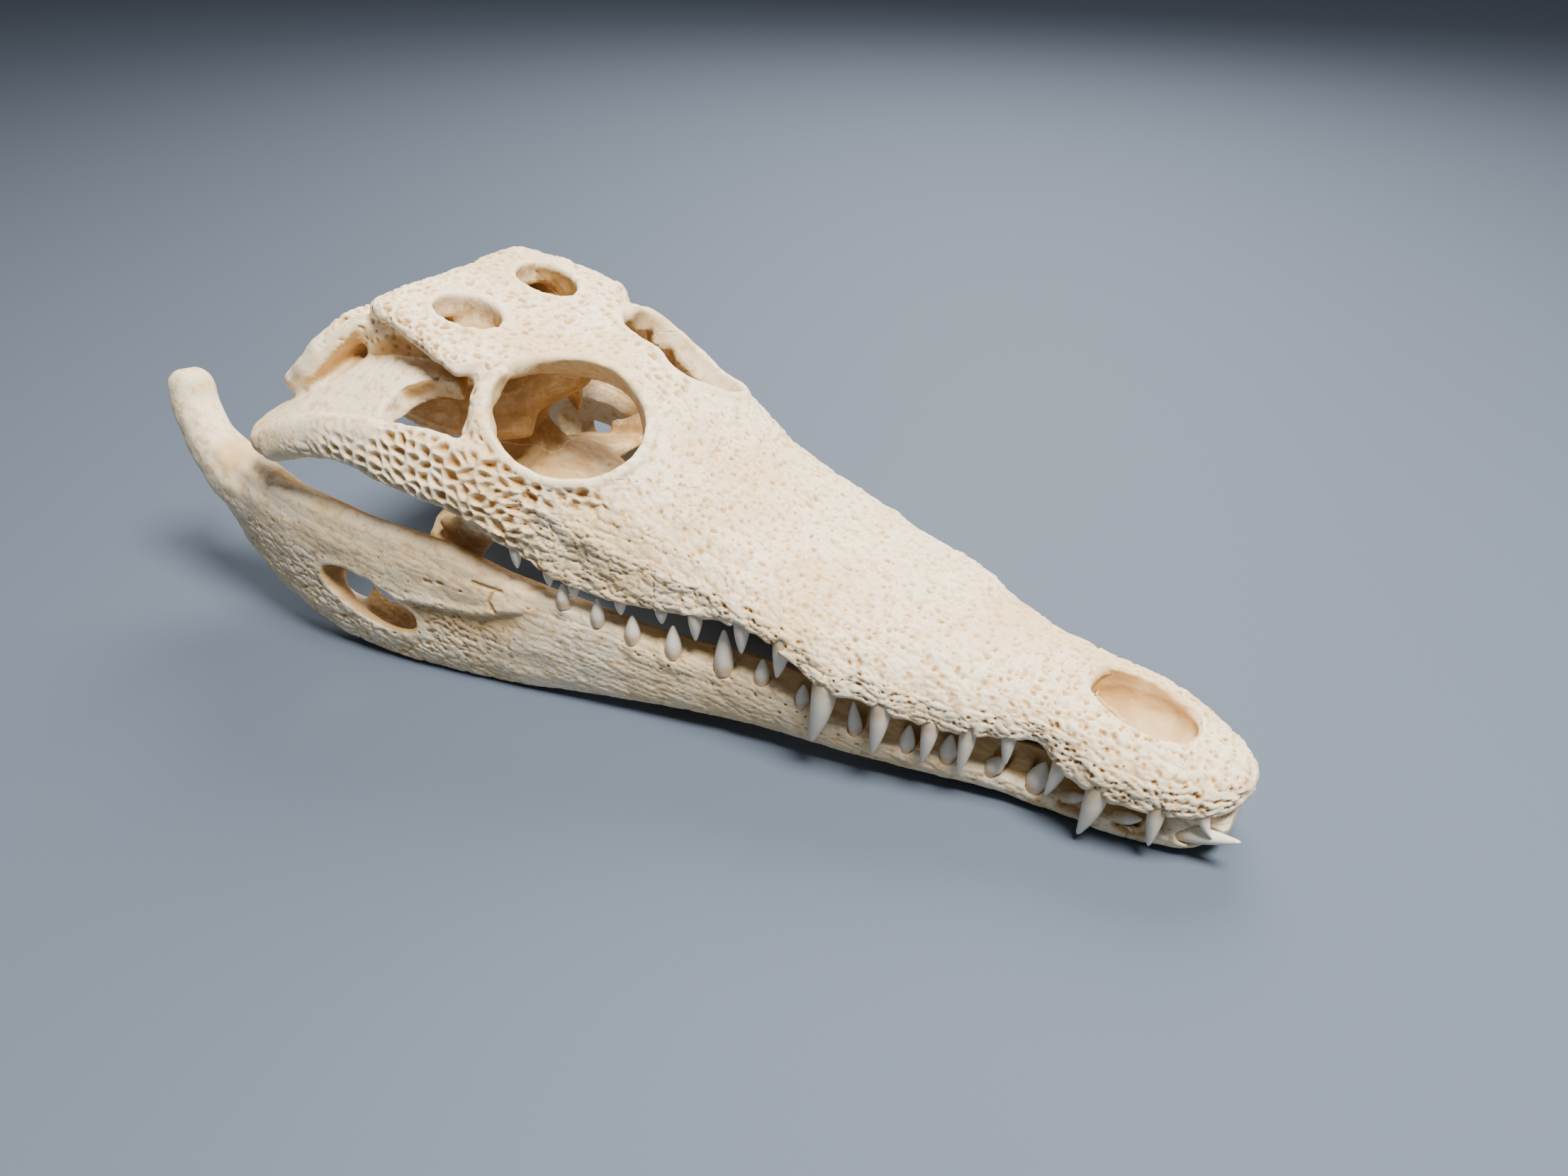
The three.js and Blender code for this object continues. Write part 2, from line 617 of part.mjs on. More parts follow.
// The inner wall of the cheek runs from near the middle in front of the eye out to the jaw joint
const CHEEK_WALL = { front: 130, frontSide: -1.8, back: JUGAL_END, backSide: 56 };
const BOX_WIDTH = 100;
const BOX_HEIGHT = 160;
const QUADRATE_CELL = { place: 290, side: 70, height: 110, size: [124, 98, 100] };
function cheekCell(hand) {
  const run = CHEEK_WALL.back - CHEEK_WALL.front;
  const spread = CHEEK_WALL.backSide - CHEEK_WALL.frontSide;
  const length = Math.hypot(run, spread);
  const place = (CHEEK_WALL.front + CHEEK_WALL.back) / 2 - (BOX_WIDTH / 2) * (spread / length);
  const side = (CHEEK_WALL.frontSide + CHEEK_WALL.backSide) / 2 + (BOX_WIDTH / 2) * (run / length);
  return [at(place, side * hand, 60), [length, BOX_WIDTH, BOX_HEIGHT], -Math.atan2(spread, run) * hand];
}

let inner = underRoof;
for (const [name, hand] of [['right', RIGHT], ['left', LEFT]]) {
  const [cheekBone, restOfSkull] = carve(inner, ...cheekCell(hand));
  const { place, side, height, size } = QUADRATE_CELL;
  const [quadrate, restBehind] = carve(restOfSkull, at(place, side * hand, height), size, 0);
  addBone(`jugal_${name}`, cheekBone);
  addBone(`quadrate_${name}`, quadrate);
  inner = restBehind;
}
const [palatineBlock, behindPalatine] = split(inner, [1, 0, 0], at(PALATINE_END, 0, 0));
const [upperMiddle, lowerMiddle] = split(behindPalatine, [0, 0, 1], at(0, 0, PALATE_HEIGHT));
addBone('palatine', palatineBlock, browned);
addBone('braincase', upperMiddle, browned);
let palate = lowerMiddle;
for (const [name, hand] of [['right', RIGHT], ['left', LEFT]]) {
  const [strut, rest] = split(palate, [0, hand, 0], at(0, STRUT_SIDE * hand, 0));
  addBone(`ectopterygoid_${name}`, strut, browned);
  palate = rest;
}
addBone('pterygoid', palate, browned);

// The lower jaw: each side is parted into three bones
for (const [name, hand] of [['right', RIGHT], ['left', LEFT]]) {
  const jaw = join([jawSide(hand), ...lowerTeeth(hand)]);
  const [side] = split(jaw.trimByPlane([0, 0, 1], 0), [0, hand, 0], at(0, 0, 0));
  const [dentary, behind] = split(side, [1, 0, -0.35], at(DENTARY_END, 0, 20));
  const [surangular, articular] = split(behind, [1, 0, 0.25], at(ARTICULAR_START, 0, 40));
  addBone(`dentary_${name}`, dentary);
  addBone(`surangular_${name}`, surangular);
  addBone(`articular_${name}`, articular);
}

export default skull;
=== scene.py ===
import itertools
import json
import math

import bmesh
import bpy
import numpy as np
from mathutils import Matrix, Vector
from mathutils.bvhtree import BVHTree

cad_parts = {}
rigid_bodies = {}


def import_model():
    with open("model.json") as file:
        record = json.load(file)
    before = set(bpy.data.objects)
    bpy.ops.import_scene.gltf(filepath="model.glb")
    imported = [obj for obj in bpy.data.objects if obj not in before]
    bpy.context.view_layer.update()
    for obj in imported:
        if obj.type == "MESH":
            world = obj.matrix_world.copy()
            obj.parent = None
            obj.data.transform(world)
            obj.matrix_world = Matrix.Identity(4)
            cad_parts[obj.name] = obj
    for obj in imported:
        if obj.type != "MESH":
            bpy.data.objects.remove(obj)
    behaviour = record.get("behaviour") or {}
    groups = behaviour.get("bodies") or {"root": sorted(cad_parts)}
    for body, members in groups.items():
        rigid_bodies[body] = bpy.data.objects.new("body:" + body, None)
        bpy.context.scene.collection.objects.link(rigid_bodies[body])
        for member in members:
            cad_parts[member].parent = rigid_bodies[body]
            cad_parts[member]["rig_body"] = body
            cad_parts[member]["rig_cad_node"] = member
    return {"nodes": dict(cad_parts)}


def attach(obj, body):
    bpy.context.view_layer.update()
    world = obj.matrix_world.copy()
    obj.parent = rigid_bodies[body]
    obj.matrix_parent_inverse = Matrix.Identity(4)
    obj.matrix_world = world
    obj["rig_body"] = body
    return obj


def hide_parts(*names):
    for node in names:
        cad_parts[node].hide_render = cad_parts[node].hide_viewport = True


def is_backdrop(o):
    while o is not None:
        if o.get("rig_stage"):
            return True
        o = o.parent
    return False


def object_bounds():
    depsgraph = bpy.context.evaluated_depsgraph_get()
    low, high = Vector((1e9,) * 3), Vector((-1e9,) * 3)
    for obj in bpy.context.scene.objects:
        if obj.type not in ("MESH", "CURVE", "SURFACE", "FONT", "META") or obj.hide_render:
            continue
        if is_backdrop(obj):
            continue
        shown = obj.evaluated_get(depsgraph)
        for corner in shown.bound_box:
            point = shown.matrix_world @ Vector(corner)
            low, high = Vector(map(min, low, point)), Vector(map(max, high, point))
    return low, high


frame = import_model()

cad_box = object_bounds()

# The camera looks down on the right side of the skull from in front, as the photograph does.
# Its place was worked out from the skull's own symmetry.
PHOTO_WIDTH = 2212
FOCAL_PIXELS = 1657.8
SENSOR_WIDTH = 36.0
CAMERA_AZIMUTH = math.radians(32.067)
CAMERA_ELEVATION = math.radians(33.156)
CAMERA_ROLL = math.radians(0.25)
CAMERA_DISTANCE = 0.37492
CAMERA_TARGET = Vector((0.0317, 0.0, 0.03248))

back = Vector((
    math.sin(CAMERA_AZIMUTH) * math.cos(CAMERA_ELEVATION),
    -math.cos(CAMERA_AZIMUTH) * math.cos(CAMERA_ELEVATION),
    math.sin(CAMERA_ELEVATION),
))
level = Vector((math.cos(CAMERA_AZIMUTH), math.sin(CAMERA_AZIMUTH), 0.0))
upright = back.cross(level)
camera_right = math.cos(CAMERA_ROLL) * level + math.sin(CAMERA_ROLL) * upright
camera_up = math.cos(CAMERA_ROLL) * upright - math.sin(CAMERA_ROLL) * level
bpy.ops.object.camera_add()
camera = bpy.context.object
camera.name = "photo_camera"
camera.data.sensor_width = SENSOR_WIDTH
camera.data.lens = FOCAL_PIXELS / PHOTO_WIDTH * SENSOR_WIDTH
camera.data.clip_start = 0.01
camera.matrix_world = Matrix.Translation(CAMERA_TARGET + CAMERA_DISTANCE * back) @ Matrix(
    (camera_right, camera_up, back)
).transposed().to_4x4()
bpy.context.scene.camera = camera

# A matt, cool grey table top, wide enough to fill the whole view.
# It carries nothing but the shadow of the skull.
FLOOR_WIDTH = 12.0
bpy.ops.mesh.primitive_plane_add(size=FLOOR_WIDTH)
table_top = bpy.context.object
table_top.name = "table_top"
floor_paint = bpy.data.materials.new("matt_grey_table")
floor_paint.use_nodes = True
floor_shader = floor_paint.node_tree.nodes["Principled BSDF"]
floor_shader.inputs["Base Color"].default_value = (0.076, 0.101, 0.143, 1.0)
floor_shader.inputs["Roughness"].default_value = 0.75
table_top.data.materials.append(floor_paint)
table_top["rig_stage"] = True

# Soft studio light: one broad lamp above and a little behind, and a weak one from the camera's side.
# A dim, even sky keeps the shadows open.
def soft_lamp(name, place, width, power, colour):
    bpy.ops.object.light_add(type="AREA", location=place)
    lamp = bpy.context.object
    lamp.name = name
    lamp.data.shape = "DISK"
    lamp.data.size = width
    lamp.data.energy = power
    lamp.data.color = colour
    lamp.rotation_euler = (-Vector(place)).to_track_quat("-Z", "Y").to_euler()
    return lamp


soft_lamp("lamp_above", (0.42, -0.12, 1.05), width=0.42, power=40.0, colour=(1.0, 0.95, 0.86))
soft_lamp("lamp_behind", (-0.25, 0.85, 0.85), width=0.8, power=21.0, colour=(1.0, 0.955, 0.875))
sky = bpy.data.worlds.new("even_sky")
bpy.context.scene.world = sky
sky.use_nodes = True
sky.node_tree.nodes["Background"].inputs["Color"].default_value = (0.86, 0.88, 0.95, 1.0)
sky.node_tree.nodes["Background"].inputs["Strength"].default_value = 0.20

# The two rows of teeth, as [distance behind the snout tip, crown length, radius, swing or lean].
# The jaws have a socket for each of them. All sizes are in millimetres.
SNOUT_TO_MIDDLE = 179.8
MILLIMETRE = 0.001
RIGHT, LEFT = -1, 1
UPPER_TEETH = (
    (8, 5, 1.7, 3), (19, 12, 2.3, 0), (34.5, 15.5, 3.1, -2), (46, 12, 2.2, -2), (61, 10, 2.1, 0),
    (71.5, 14.5, 2.4, -1), (81.5, 13, 2.5, -1), (95, 15.5, 2.9, -1), (111.5, 19.5, 3.7, -2),
    (126, 11, 2.7, -1), (139, 9.5, 2.5, 0), (154, 8, 2.3, 0), (165, 4, 2, 0), (178, 4.5, 2, 0),
    (193, 4, 1.9, 0), (201, 4.2, 1.8, 0), (211, 6, 2, 0),
)
LOWER_TEETH = (
    (12, 15, 2.7, 76), (27.5, 5, 1.9, 74), (42.5, 4.5, 1.8, 66), (53, 8, 3.2, 12), (65.5, 5.5, 2.7, 35),
    (78, 7, 2.6, 4), (89.5, 7.5, 2.4, 4), (104.5, 9, 2.2, -6), (121, 5.5, 2.2, 4), (134, 6.5, 2.3, 3),
    (146, 13, 3, 2), (162, 8.5, 2.6, 2), (175, 7, 2.4, 2), (186, 6.5, 2.2, 2), (197, 5.5, 2, 2),
)
UPPER_TOOTH_INSET = 2.6
UPPER_ROOT_LIFT = 1.2
LOWER_TOOTH_INSET = 2.8


def profile(*pairs):
    """A smooth curve through pairs of a place and a value."""
    place, value = np.array(pairs, float).T
    slope = np.gradient(value)
    slope[1:-1] = (value[2:] - value[:-2]) / (place[2:] - place[:-2])
    slope[0] = (value[1] - value[0]) / (place[1] - place[0])
    slope[-1] = (value[-1] - value[-2]) / (place[-1] - place[-2])

    def curve(s):
        s = np.clip(s, place[0], place[-1])
        i = np.clip(np.searchsorted(place, s, side="right") - 1, 0, len(place) - 2)
        span = place[i + 1] - place[i]
        t = (s - place[i]) / span
        u = 1 - t
        return (
            value[i] * (1 + 2 * t) * u * u + value[i + 1] * (3 - 2 * t) * t * t
            + slope[i] * span * t * u * u - slope[i + 1] * span * t * t * u
        )

    return curve


upper_half = profile(
    (0, 5), (3, 11), (8, 16), (15, 20), (24, 22.8), (33, 24.3), (42, 23.6), (51, 21.8), (57, 22.6),
    (66, 25.8), (77, 29.5), (90, 34), (102, 37.4), (112, 38.8), (122, 38.6), (135, 39.4), (150, 41.3),
    (165, 44), (182, 48), (200, 52), (212, 55), (225, 58),
)
tooth_line = profile(
    (0, 19), (7, 15.5), (17, 17), (33, 17.5), (42, 20.5), (47, 22), (52, 26), (57, 27), (64, 25),
    (81, 25), (95, 28), (104, 31.5), (113, 30.5), (117, 32.5), (122, 38), (128, 40.5), (135, 43),
    (150, 42), (165, 40.6), (180, 41.4), (191, 42.6), (202, 46.5), (212, 53), (225, 60),
)
lower_outer = profile(
    (2, 8), (6, 12), (14, 15), (24, 17.5), (35, 19), (50, 19), (60, 20), (75, 24.5), (90, 29), (105, 33),
    (120, 35.5), (135, 37.5), (150, 40.5), (165, 44), (180, 47.5), (198, 52), (215, 56.5), (232, 60.5),
    (252, 65), (270, 68), (290, 70), (308, 70.5), (320, 69), (335, 65.5), (345, 63),
)
lower_gum = profile(
    (7, 7.5), (24, 7.5), (52, 9), (66, 10.5), (78, 12.5), (90, 13), (104, 15.5), (122, 21), (135, 25),
    (147, 26), (163, 28), (175, 30), (196, 38),
)


def seeded(seed):
    """A set of varied sizes that is the same each time."""
    state = seed
    while True:
        state = (state * 16807) % 2147483647
        yield state / 2147483647


def tooth_places():
    """Each tooth as its jaw, side, root, direction, bend, crown length and radius."""
    for hand in (RIGHT, LEFT):
        vary = seeded(11 if hand == RIGHT else 29)
        for place, length, radius, swing in UPPER_TEETH:
            size = 1 if hand == RIGHT else 0.9 + 0.15 * next(vary)
            root = Vector((
                SNOUT_TO_MIDDLE - place,
                hand * (float(upper_half(place)) - UPPER_TOOTH_INSET),
                float(tooth_line(place)) + UPPER_ROOT_LIFT,
            ))
            down = Vector((0.03 * swing, 0.1 * hand, -1)).normalized()
            bend = Vector((swing, -0.4 * hand, 0))
            yield "upper", hand, root, down, bend, length * size + UPPER_ROOT_LIFT, radius
        vary = seeded(17 if hand == RIGHT else 43)
        for place, length, radius, lean in LOWER_TEETH:
            size = 1 if hand == RIGHT else 0.88 + 0.15 * next(vary)
            root = Vector((
                SNOUT_TO_MIDDLE - place,
                hand * (float(lower_outer(place)) - LOWER_TOOTH_INSET),
                float(lower_gum(place)),
            ))
            lean = math.radians(lean)
            rise = Vector((math.sin(lean), 0.04 * hand, math.cos(lean))).normalized()
            yield "lower", hand, root, rise, Vector((0, -0.4 * hand, 0.3)), length * size, radius


def add_tooth(shape, root, rise, bend, crown, rings, sides):
    """Adds a closed cone of rings, each a height and a radius, that bends towards its tip."""
    across = Vector((1, 0, 0)) if abs(rise.x) < 0.8 else Vector((0, 0, 1))
    side = rise.cross(across).normalized()
    front = side.cross(rise)
    last = None
    for height, radius in rings:
        centre = root + rise * height + bend * max(height / crown, 0) ** 2
        ring = []
        for k in range(sides):
            angle = math.tau * k / sides
            point = centre + radius * (math.cos(angle) * side + math.sin(angle) * front)
            ring.append(shape.verts.new(point * MILLIMETRE))
        if last:
            for k in range(sides):
                turn = (k + 1) % sides
                shape.faces.new((last[k], last[turn], ring[turn], ring[k]))
        else:
            shape.faces.new(ring[::-1])
        last = ring
    shape.faces.new(last)


# The cranium starts as its bones from the frame, joined into one closed surface.
# The plain teeth are cut away and leave their sockets, and the surface is evened out.
CRANIUM_BONES = (
    "premaxilla", "maxilla", "skull_roof", "jugal_right", "jugal_left", "quadrate_right", "quadrate_left",
    "palatine", "braincase", "ectopterygoid_right", "ectopterygoid_left", "pterygoid",
)
ROUGH_GRAIN = 1.15 * MILLIMETRE
FINE_GRAIN = 0.54 * MILLIMETRE
SUTURE_FILL = 0.3 * MILLIMETRE
SOCKET_DEPTH = 3.2
SOCKET_ROOM = 0.35
SMOOTHING_ROUNDS = 60
TABLE_HOLLOW = 3.6
TABLE_HALF_WIDTH = 33


def activate(thing):
    bpy.ops.object.select_all(action="DESELECT")
    thing.select_set(True)
    bpy.context.view_layer.objects.active = thing


def apply_modifier(thing, kind, **settings):
    activate(thing)
    modifier = thing.modifiers.new(kind.lower(), kind)
    for name, value in settings.items():
        setattr(modifier, name, value)
    bpy.ops.object.modifier_apply(modifier=modifier.name)


def joined_bones(name, bones):
    """A copy of some bones of the frame as one object whose loose triangles are merged."""
    bpy.ops.object.select_all(action="DESELECT")
    for bone in bones:
        frame["nodes"][bone].select_set(True)
    bpy.context.view_layer.objects.active = frame["nodes"][bones[0]]
    bpy.ops.object.duplicate()
    bpy.ops.object.join()
    thing = bpy.context.object
    thing.name = name
    thing.parent = None
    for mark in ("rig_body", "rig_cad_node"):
        del thing[mark]
    thing.data.materials.clear()
    bpy.ops.object.mode_set(mode="EDIT")
    bpy.ops.mesh.select_all(action="SELECT")
    bpy.ops.mesh.remove_doubles(threshold=1e-6)
    bpy.ops.object.mode_set(mode="OBJECT")
    return thing


def cut_sockets(thing, jaw, hands):
    """Takes the plain teeth off a jaw, down into a socket under each of them."""
    shape = bmesh.new()
    for row, hand, root, rise, bend, crown, radius in tooth_places():
        if row == jaw and hand in hands:
            wide = radius + SOCKET_ROOM
            rings = [(-SOCKET_DEPTH, 0.7 * wide), (-0.5 * SOCKET_DEPTH, wide), (0.1 * crown, 1.05 * wide),
                     (0.62 * crown, wide), (crown + 1.5, 0.6 * wide)]
            add_tooth(shape, root, rise, bend, crown, rings, 14)
    bmesh.ops.recalc_face_normals(shape, faces=shape.faces)
    cutter_mesh = bpy.data.meshes.new("socket_cutter")
    shape.to_mesh(cutter_mesh)
    shape.free()
    cutter = bpy.data.objects.new("socket_cutter", cutter_mesh)
    bpy.context.scene.collection.objects.link(cutter)
    apply_modifier(thing, "BOOLEAN", operation="DIFFERENCE", object=cutter, solver="MANIFOLD")
    bpy.data.objects.remove(cutter)


def remesh(thing, grain):
    activate(thing)
    thing.data.remesh_voxel_size = grain
    thing.data.use_remesh_fix_poles = False
    thing.data.use_remesh_preserve_attributes = True
    bpy.ops.object.voxel_remesh()


def places(thing):
    """The vertices of an object as an array in millimetres."""
    flat = np.empty(len(thing.data.vertices) * 3)
    thing.data.vertices.foreach_get("co", flat)
    return flat.reshape(-1, 3) / MILLIMETRE


def normals(thing):
    flat = np.empty(len(thing.data.vertices) * 3)
    thing.data.vertex_normals.foreach_get("vector", flat)
    return flat.reshape(-1, 3)


def set_places(thing, points):
    thing.data.vertices.foreach_set("co", (points * MILLIMETRE).ravel())
    thing.data.update()


def edge_ends(thing):
    ends = np.empty(len(thing.data.edges) * 2, int)
    thing.data.edges.foreach_get("vertices", ends)
    return ends


def even_out(thing, rounds, where_to=1.0, weights=(0.5, -0.526)):
    """Smooths away the flat facets. The negative weight keeps what is thin from shrinking."""
    points = places(thing)
    ends = edge_ends(thing)
    first = np.r_[ends[0::2], ends[1::2]]
    second = np.r_[ends[1::2], ends[0::2]]
    count = len(points)
    neighbours = np.bincount(first, minlength=count)[:, None]
    for _ in range(rounds):
        for weight in weights:
            total = np.stack([np.bincount(first, points[second, axis], count) for axis in range(3)], 1)
            points += weight * where_to * (total / neighbours - points)
    set_places(thing, points)


def ease(low, high, value):
    """Rises smoothly from 0 at low to 1 at high."""
    t = np.clip((value - low) / (high - low), 0, 1)
    return t * t * (3 - 2 * t)


cranium = joined_bones("cranium", CRANIUM_BONES)
cut_sockets(cranium, "upper", (RIGHT, LEFT))
apply_modifier(cranium, "DISPLACE", strength=SUTURE_FILL, mid_level=0.0)
remesh(cranium, ROUGH_GRAIN)
even_out(cranium, SMOOTHING_ROUNDS)
points = places(cranium)
behind = SNOUT_TO_MIDDLE - points[:, 0]
inside = (1 - ease(22, 34, np.abs(points[:, 1]))) * ease(186, 198, behind) * (1 - ease(90, 97, points[:, 2]))
even_out(cranium, SMOOTHING_ROUNDS, inside[:, None], (0.5,))
points = places(cranium)
behind = SNOUT_TO_MIDDLE - points[:, 0]
back_edge = ease(262, 281, behind) * ease(84, 96, points[:, 2])
points[:, 0] += TABLE_HOLLOW * back_edge * np.clip(1 - (points[:, 1] / TABLE_HALF_WIDTH) ** 2, 0, 1)
set_places(cranium, points)

# Each side of the lower jaw is made the same way, from its three bones.
# Its outer wall stops at the gum line, and a ledge behind it carries the teeth.
JAW_BONES = ("dentary", "surangular", "articular")
LEDGE_DEPTH = 3.6
FRONT_LEDGE_EXTRA = 2.2
SIDES = (("right", RIGHT), ("left", LEFT))


jaws = {}
for side_name, hand in SIDES:
    jaw = joined_bones(f"jaw_{side_name}", [f"{bone}_{side_name}" for bone in JAW_BONES])
    cut_sockets(jaw, "lower", (hand,))
    apply_modifier(jaw, "DISPLACE", strength=SUTURE_FILL, mid_level=0.0)
    remesh(jaw, ROUGH_GRAIN)
    even_out(jaw, SMOOTHING_ROUNDS)
    points = places(jaw)
    behind = SNOUT_TO_MIDDLE - points[:, 0]
    gum = lower_gum(behind)
    above = ease(gum - 0.6, gum + 1.4, points[:, 2])
    outer = ease(lower_outer(behind) - 9, lower_outer(behind) - 3, points[:, 1] * hand)
    along = ease(14, 20, behind) * (1 - ease(196, 212, behind))
    deep = LEDGE_DEPTH + FRONT_LEDGE_EXTRA * (1 - ease(46, 60, behind))
    points[:, 1] -= hand * deep * above * outer * along
    set_places(jaw, points)
    jaws[hand] = jaw

# Bone that sees little of the sky is painted ochre and brown, as painted shade in its recesses with some
# staining, so the share of sky that each point sees is found.
# It is kept on the surface for the finish, and the open surface gets the sculpted relief.
SHELTER_REACH = 0.07
SHELTER_RAYS = 18
RAY_LIFT = 0.0006


def ray_fan(count):
    """Directions spread over the half sphere above a surface, denser near the upright."""
    golden = math.pi * (3 - math.sqrt(5))
    fan = []
    for k in range(count):
        radius = math.sqrt((k + 0.5) / count)
        fan.append((radius * math.cos(k * golden), radius * math.sin(k * golden), math.sqrt(1 - radius**2)))
    return np.array(fan)


def store(thing, name, values):
    layer = thing.data.attributes.get(name) or thing.data.attributes.new(name, "FLOAT", "POINT")
    layer.data.foreach_set("value", values.astype(np.float32))


def read(thing, name):
    values = np.empty(len(thing.data.vertices), np.float32)
    thing.data.attributes[name].data.foreach_get("value", values)
    return values.astype(float)


def find_shelter(things):
    corners, faces = [], []
    for thing in things:
        start = len(corners)
        corners.extend(places(thing) * MILLIMETRE)
        count = len(thing.data.polygons)
        quads = np.empty(count * 4, int)
        thing.data.polygons.foreach_get("vertices", quads)
        faces.extend((quads.reshape(-1, 4) + start).tolist())
    tree = BVHTree.FromPolygons(corners, faces)
    fan = ray_fan(SHELTER_RAYS)
    for thing in things:
        points = places(thing) * MILLIMETRE
        up = normals(thing)
        away = np.where(np.abs(up[:, :1]) > 0.7, [[0.0, 1.0, 0.0]], [[1.0, 0.0, 0.0]])
        across = np.cross(up, away)
        across /= np.linalg.norm(across, axis=1)[:, None]
        along = np.cross(up, across)
        starts = points + up * RAY_LIFT
        hidden = np.zeros(len(points))
        for x, y, z in fan:
            rays = x * across + y * along + z * up
            hidden += [tree.ray_cast(a, b, SHELTER_REACH)[0] is not None for a, b in zip(starts, rays)]
        # The share of sky that is hidden, later painted onto the bone as shade.
        store(thing, "recess_shade_and_stain", hidden / len(fan))


find_shelter([cranium, *jaws.values()])
for thing in (cranium, *jaws.values()):
    remesh(thing, FINE_GRAIN)
    even_out(thing, 6)


# The sutures between the bones wander a little, so the planes that part the skull are warped.
# The same warp draws each suture as a shallow groove in the surface.
GROOVE_DEPTH = 0.22
GROOVE_WIDTH = 0.55
CUTTER_REACH = 150.0
CUTTER_STEPS = 110
# Corners of a cut that no neighbour reaches get this mark, so the faces between two bones are painted fairly
# dark, as painted shade with some staining.
UNKNOWN_MARK = 0.7


def lattice(corner, seed):
    """A varied number from 0 to 1 for each whole-numbered corner, the same each time."""
    mixed = corner.astype(np.int64)
    code = mixed[:, 0] * 73856093 ^ mixed[:, 1] * 19349663 ^ mixed[:, 2] * 83492791 ^ seed * 2654435761
    code = (code ^ (code >> 13)) * 1274126177 & 0x7FFFFFFF
    code = (code ^ (code >> 15)) * 668265263 & 0x7FFFFFFF
    return ((code ^ (code >> 12)) & 0xFFFFFF) / 0xFFFFFF


def swell(points, size, seed):
    """Soft random swells from -1 to 1, about one size apart."""
    grid = points / np.asarray(size, float)
    corner = np.floor(grid).astype(np.int64)
    t = grid - corner
    t = t * t * t * (t * (t * 6 - 15) + 10)
    total = 0
    for step in itertools.product((0, 1), repeat=3):
        weight = np.prod(np.where(step, t, 1 - t), axis=1)
        total = total + weight * lattice(corner + np.array(step), seed)
    return 2 * total - 1


def warp(points):
    wander = [0.9 * swell(points, 6.5, seed) + 0.4 * swell(points, 2.6, seed + 9) for seed in (61, 62, 63)]
    return np.stack(wander, 1)


def spot(place, side, height):
    """A point by its distance behind the snout tip, its side and its height, in millimetres."""
    return np.array((SNOUT_TO_MIDDLE - place, side, height), float)


def block(centre, size, turn=0.0):
    """The frame of a box: its centre, its three axes and its half sizes."""
    axes = np.array(Matrix.Rotation(turn, 3, "Z")).T
    return np.array(centre, float), axes, np.array(size, float) / 2


def half_space(direction, point, reach=190.0):
    """A large box whose one wall is the plane through a point."""
    first = Vector(direction).normalized()
    side = first.cross(Vector((0, 0, 1) if abs(first.z) < 0.8 else (0, 1, 0))).normalized()
    axes = np.array((first, side, first.cross(side)))
    return np.array(point, float) + reach * axes[0], axes, np.array((reach, CUTTER_REACH, CUTTER_REACH))


MARKS = ("recess_shade_and_stain", "pit_shade_and_stain")


def suture_cutter(frame_of_box):
    """The box as a closed shape with finely divided walls that wander."""
    centre, axes, half = frame_of_box
    bpy.ops.object.select_all(action="DESELECT")
    bpy.ops.mesh.primitive_cube_add(size=2.0)
    cutter = bpy.context.object
    bpy.ops.object.mode_set(mode="EDIT")
    bpy.ops.mesh.subdivide(number_cuts=CUTTER_STEPS)
    bpy.ops.object.mode_set(mode="OBJECT")
    points = places(cutter) * MILLIMETRE * half @ axes + centre
    set_places(cutter, points + warp(points))
    for name in MARKS:
        store(cutter, name, np.full(len(points), -1.0))
    return cutter


def carry_marks(thing):
    """Gives the fresh corners along a cut the marks of the old surface beside them."""
    ends = edge_ends(thing)
    first = np.r_[ends[0::2], ends[1::2]]
    second = np.r_[ends[1::2], ends[0::2]]
    for name in MARKS:
        values = read(thing, name)
        for _ in range(3):
            known = values >= 0
            count = np.bincount(first, known[second], len(values))
            total = np.bincount(first, np.where(known, values, 0)[second], len(values))
            fill = ~known & (count > 0)
            values[fill] = total[fill] / count[fill]
        store(thing, name, np.where(values < 0, UNKNOWN_MARK, values))


def part_along(thing, frame_of_box, inside_name):
    """Cuts what lies in the box out of a thing, as a new thing of its own."""
    cutter = suture_cutter(frame_of_box)
    activate(thing)
    bpy.ops.object.duplicate()
    inside = bpy.context.object
    inside.name = inside_name
    apply_modifier(inside, "BOOLEAN", operation="INTERSECT", object=cutter, solver="MANIFOLD")
    apply_modifier(thing, "BOOLEAN", operation="DIFFERENCE", object=cutter, solver="MANIFOLD")
    bpy.data.objects.remove(cutter)
    carry_marks(inside)
    carry_marks(thing)
    return inside


def suture_groove(points, frames, within):
    """How deep each point lies in the groove along the walls of some boxes, from 0 to 1."""
    straight = points - warp(points)
    depth = np.zeros(len(points))
    for centre, axes, half in frames:
        gap = np.abs((straight - centre) @ axes.T) - half
        outside = np.linalg.norm(np.maximum(gap, 0), axis=1) + np.minimum(gap.max(axis=1), 0)
        depth = np.maximum(depth, 1 - ease(0, GROOVE_WIDTH, np.abs(outside)))
    return depth * within


NOTCH, MAXILLA_END, PALATINE_END = 51.0, 166.0, 214.0
PREMAXILLA_PART = half_space((1, 0, 0), spot(NOTCH, 0, 0))
MAXILLA_PART = half_space((1, 0, 0), spot(MAXILLA_END, 0, 0))
ROOF_PART = half_space((0.3, 0, 1), spot(238, 0, 93.5))
PALATINE_PART = half_space((1, 0, 0), spot(PALATINE_END, 0, 0))
BRAINCASE_PART = half_space((0, 0, 1), spot(200, 0, 60))


def cheek_part(hand):
    run, spread = 262.0 - 130.0, 56.0 + 1.8
    length = math.hypot(run, spread)
    centre = spot(196 - 50 * spread / length, hand * (27.1 + 50 * run / length), 60)
    return block(centre, (length, 100, 160), -math.atan2(spread, run) * hand)


def quadrate_part(hand):
    return block(spot(290, 70 * hand, 110), (124, 98, 100))


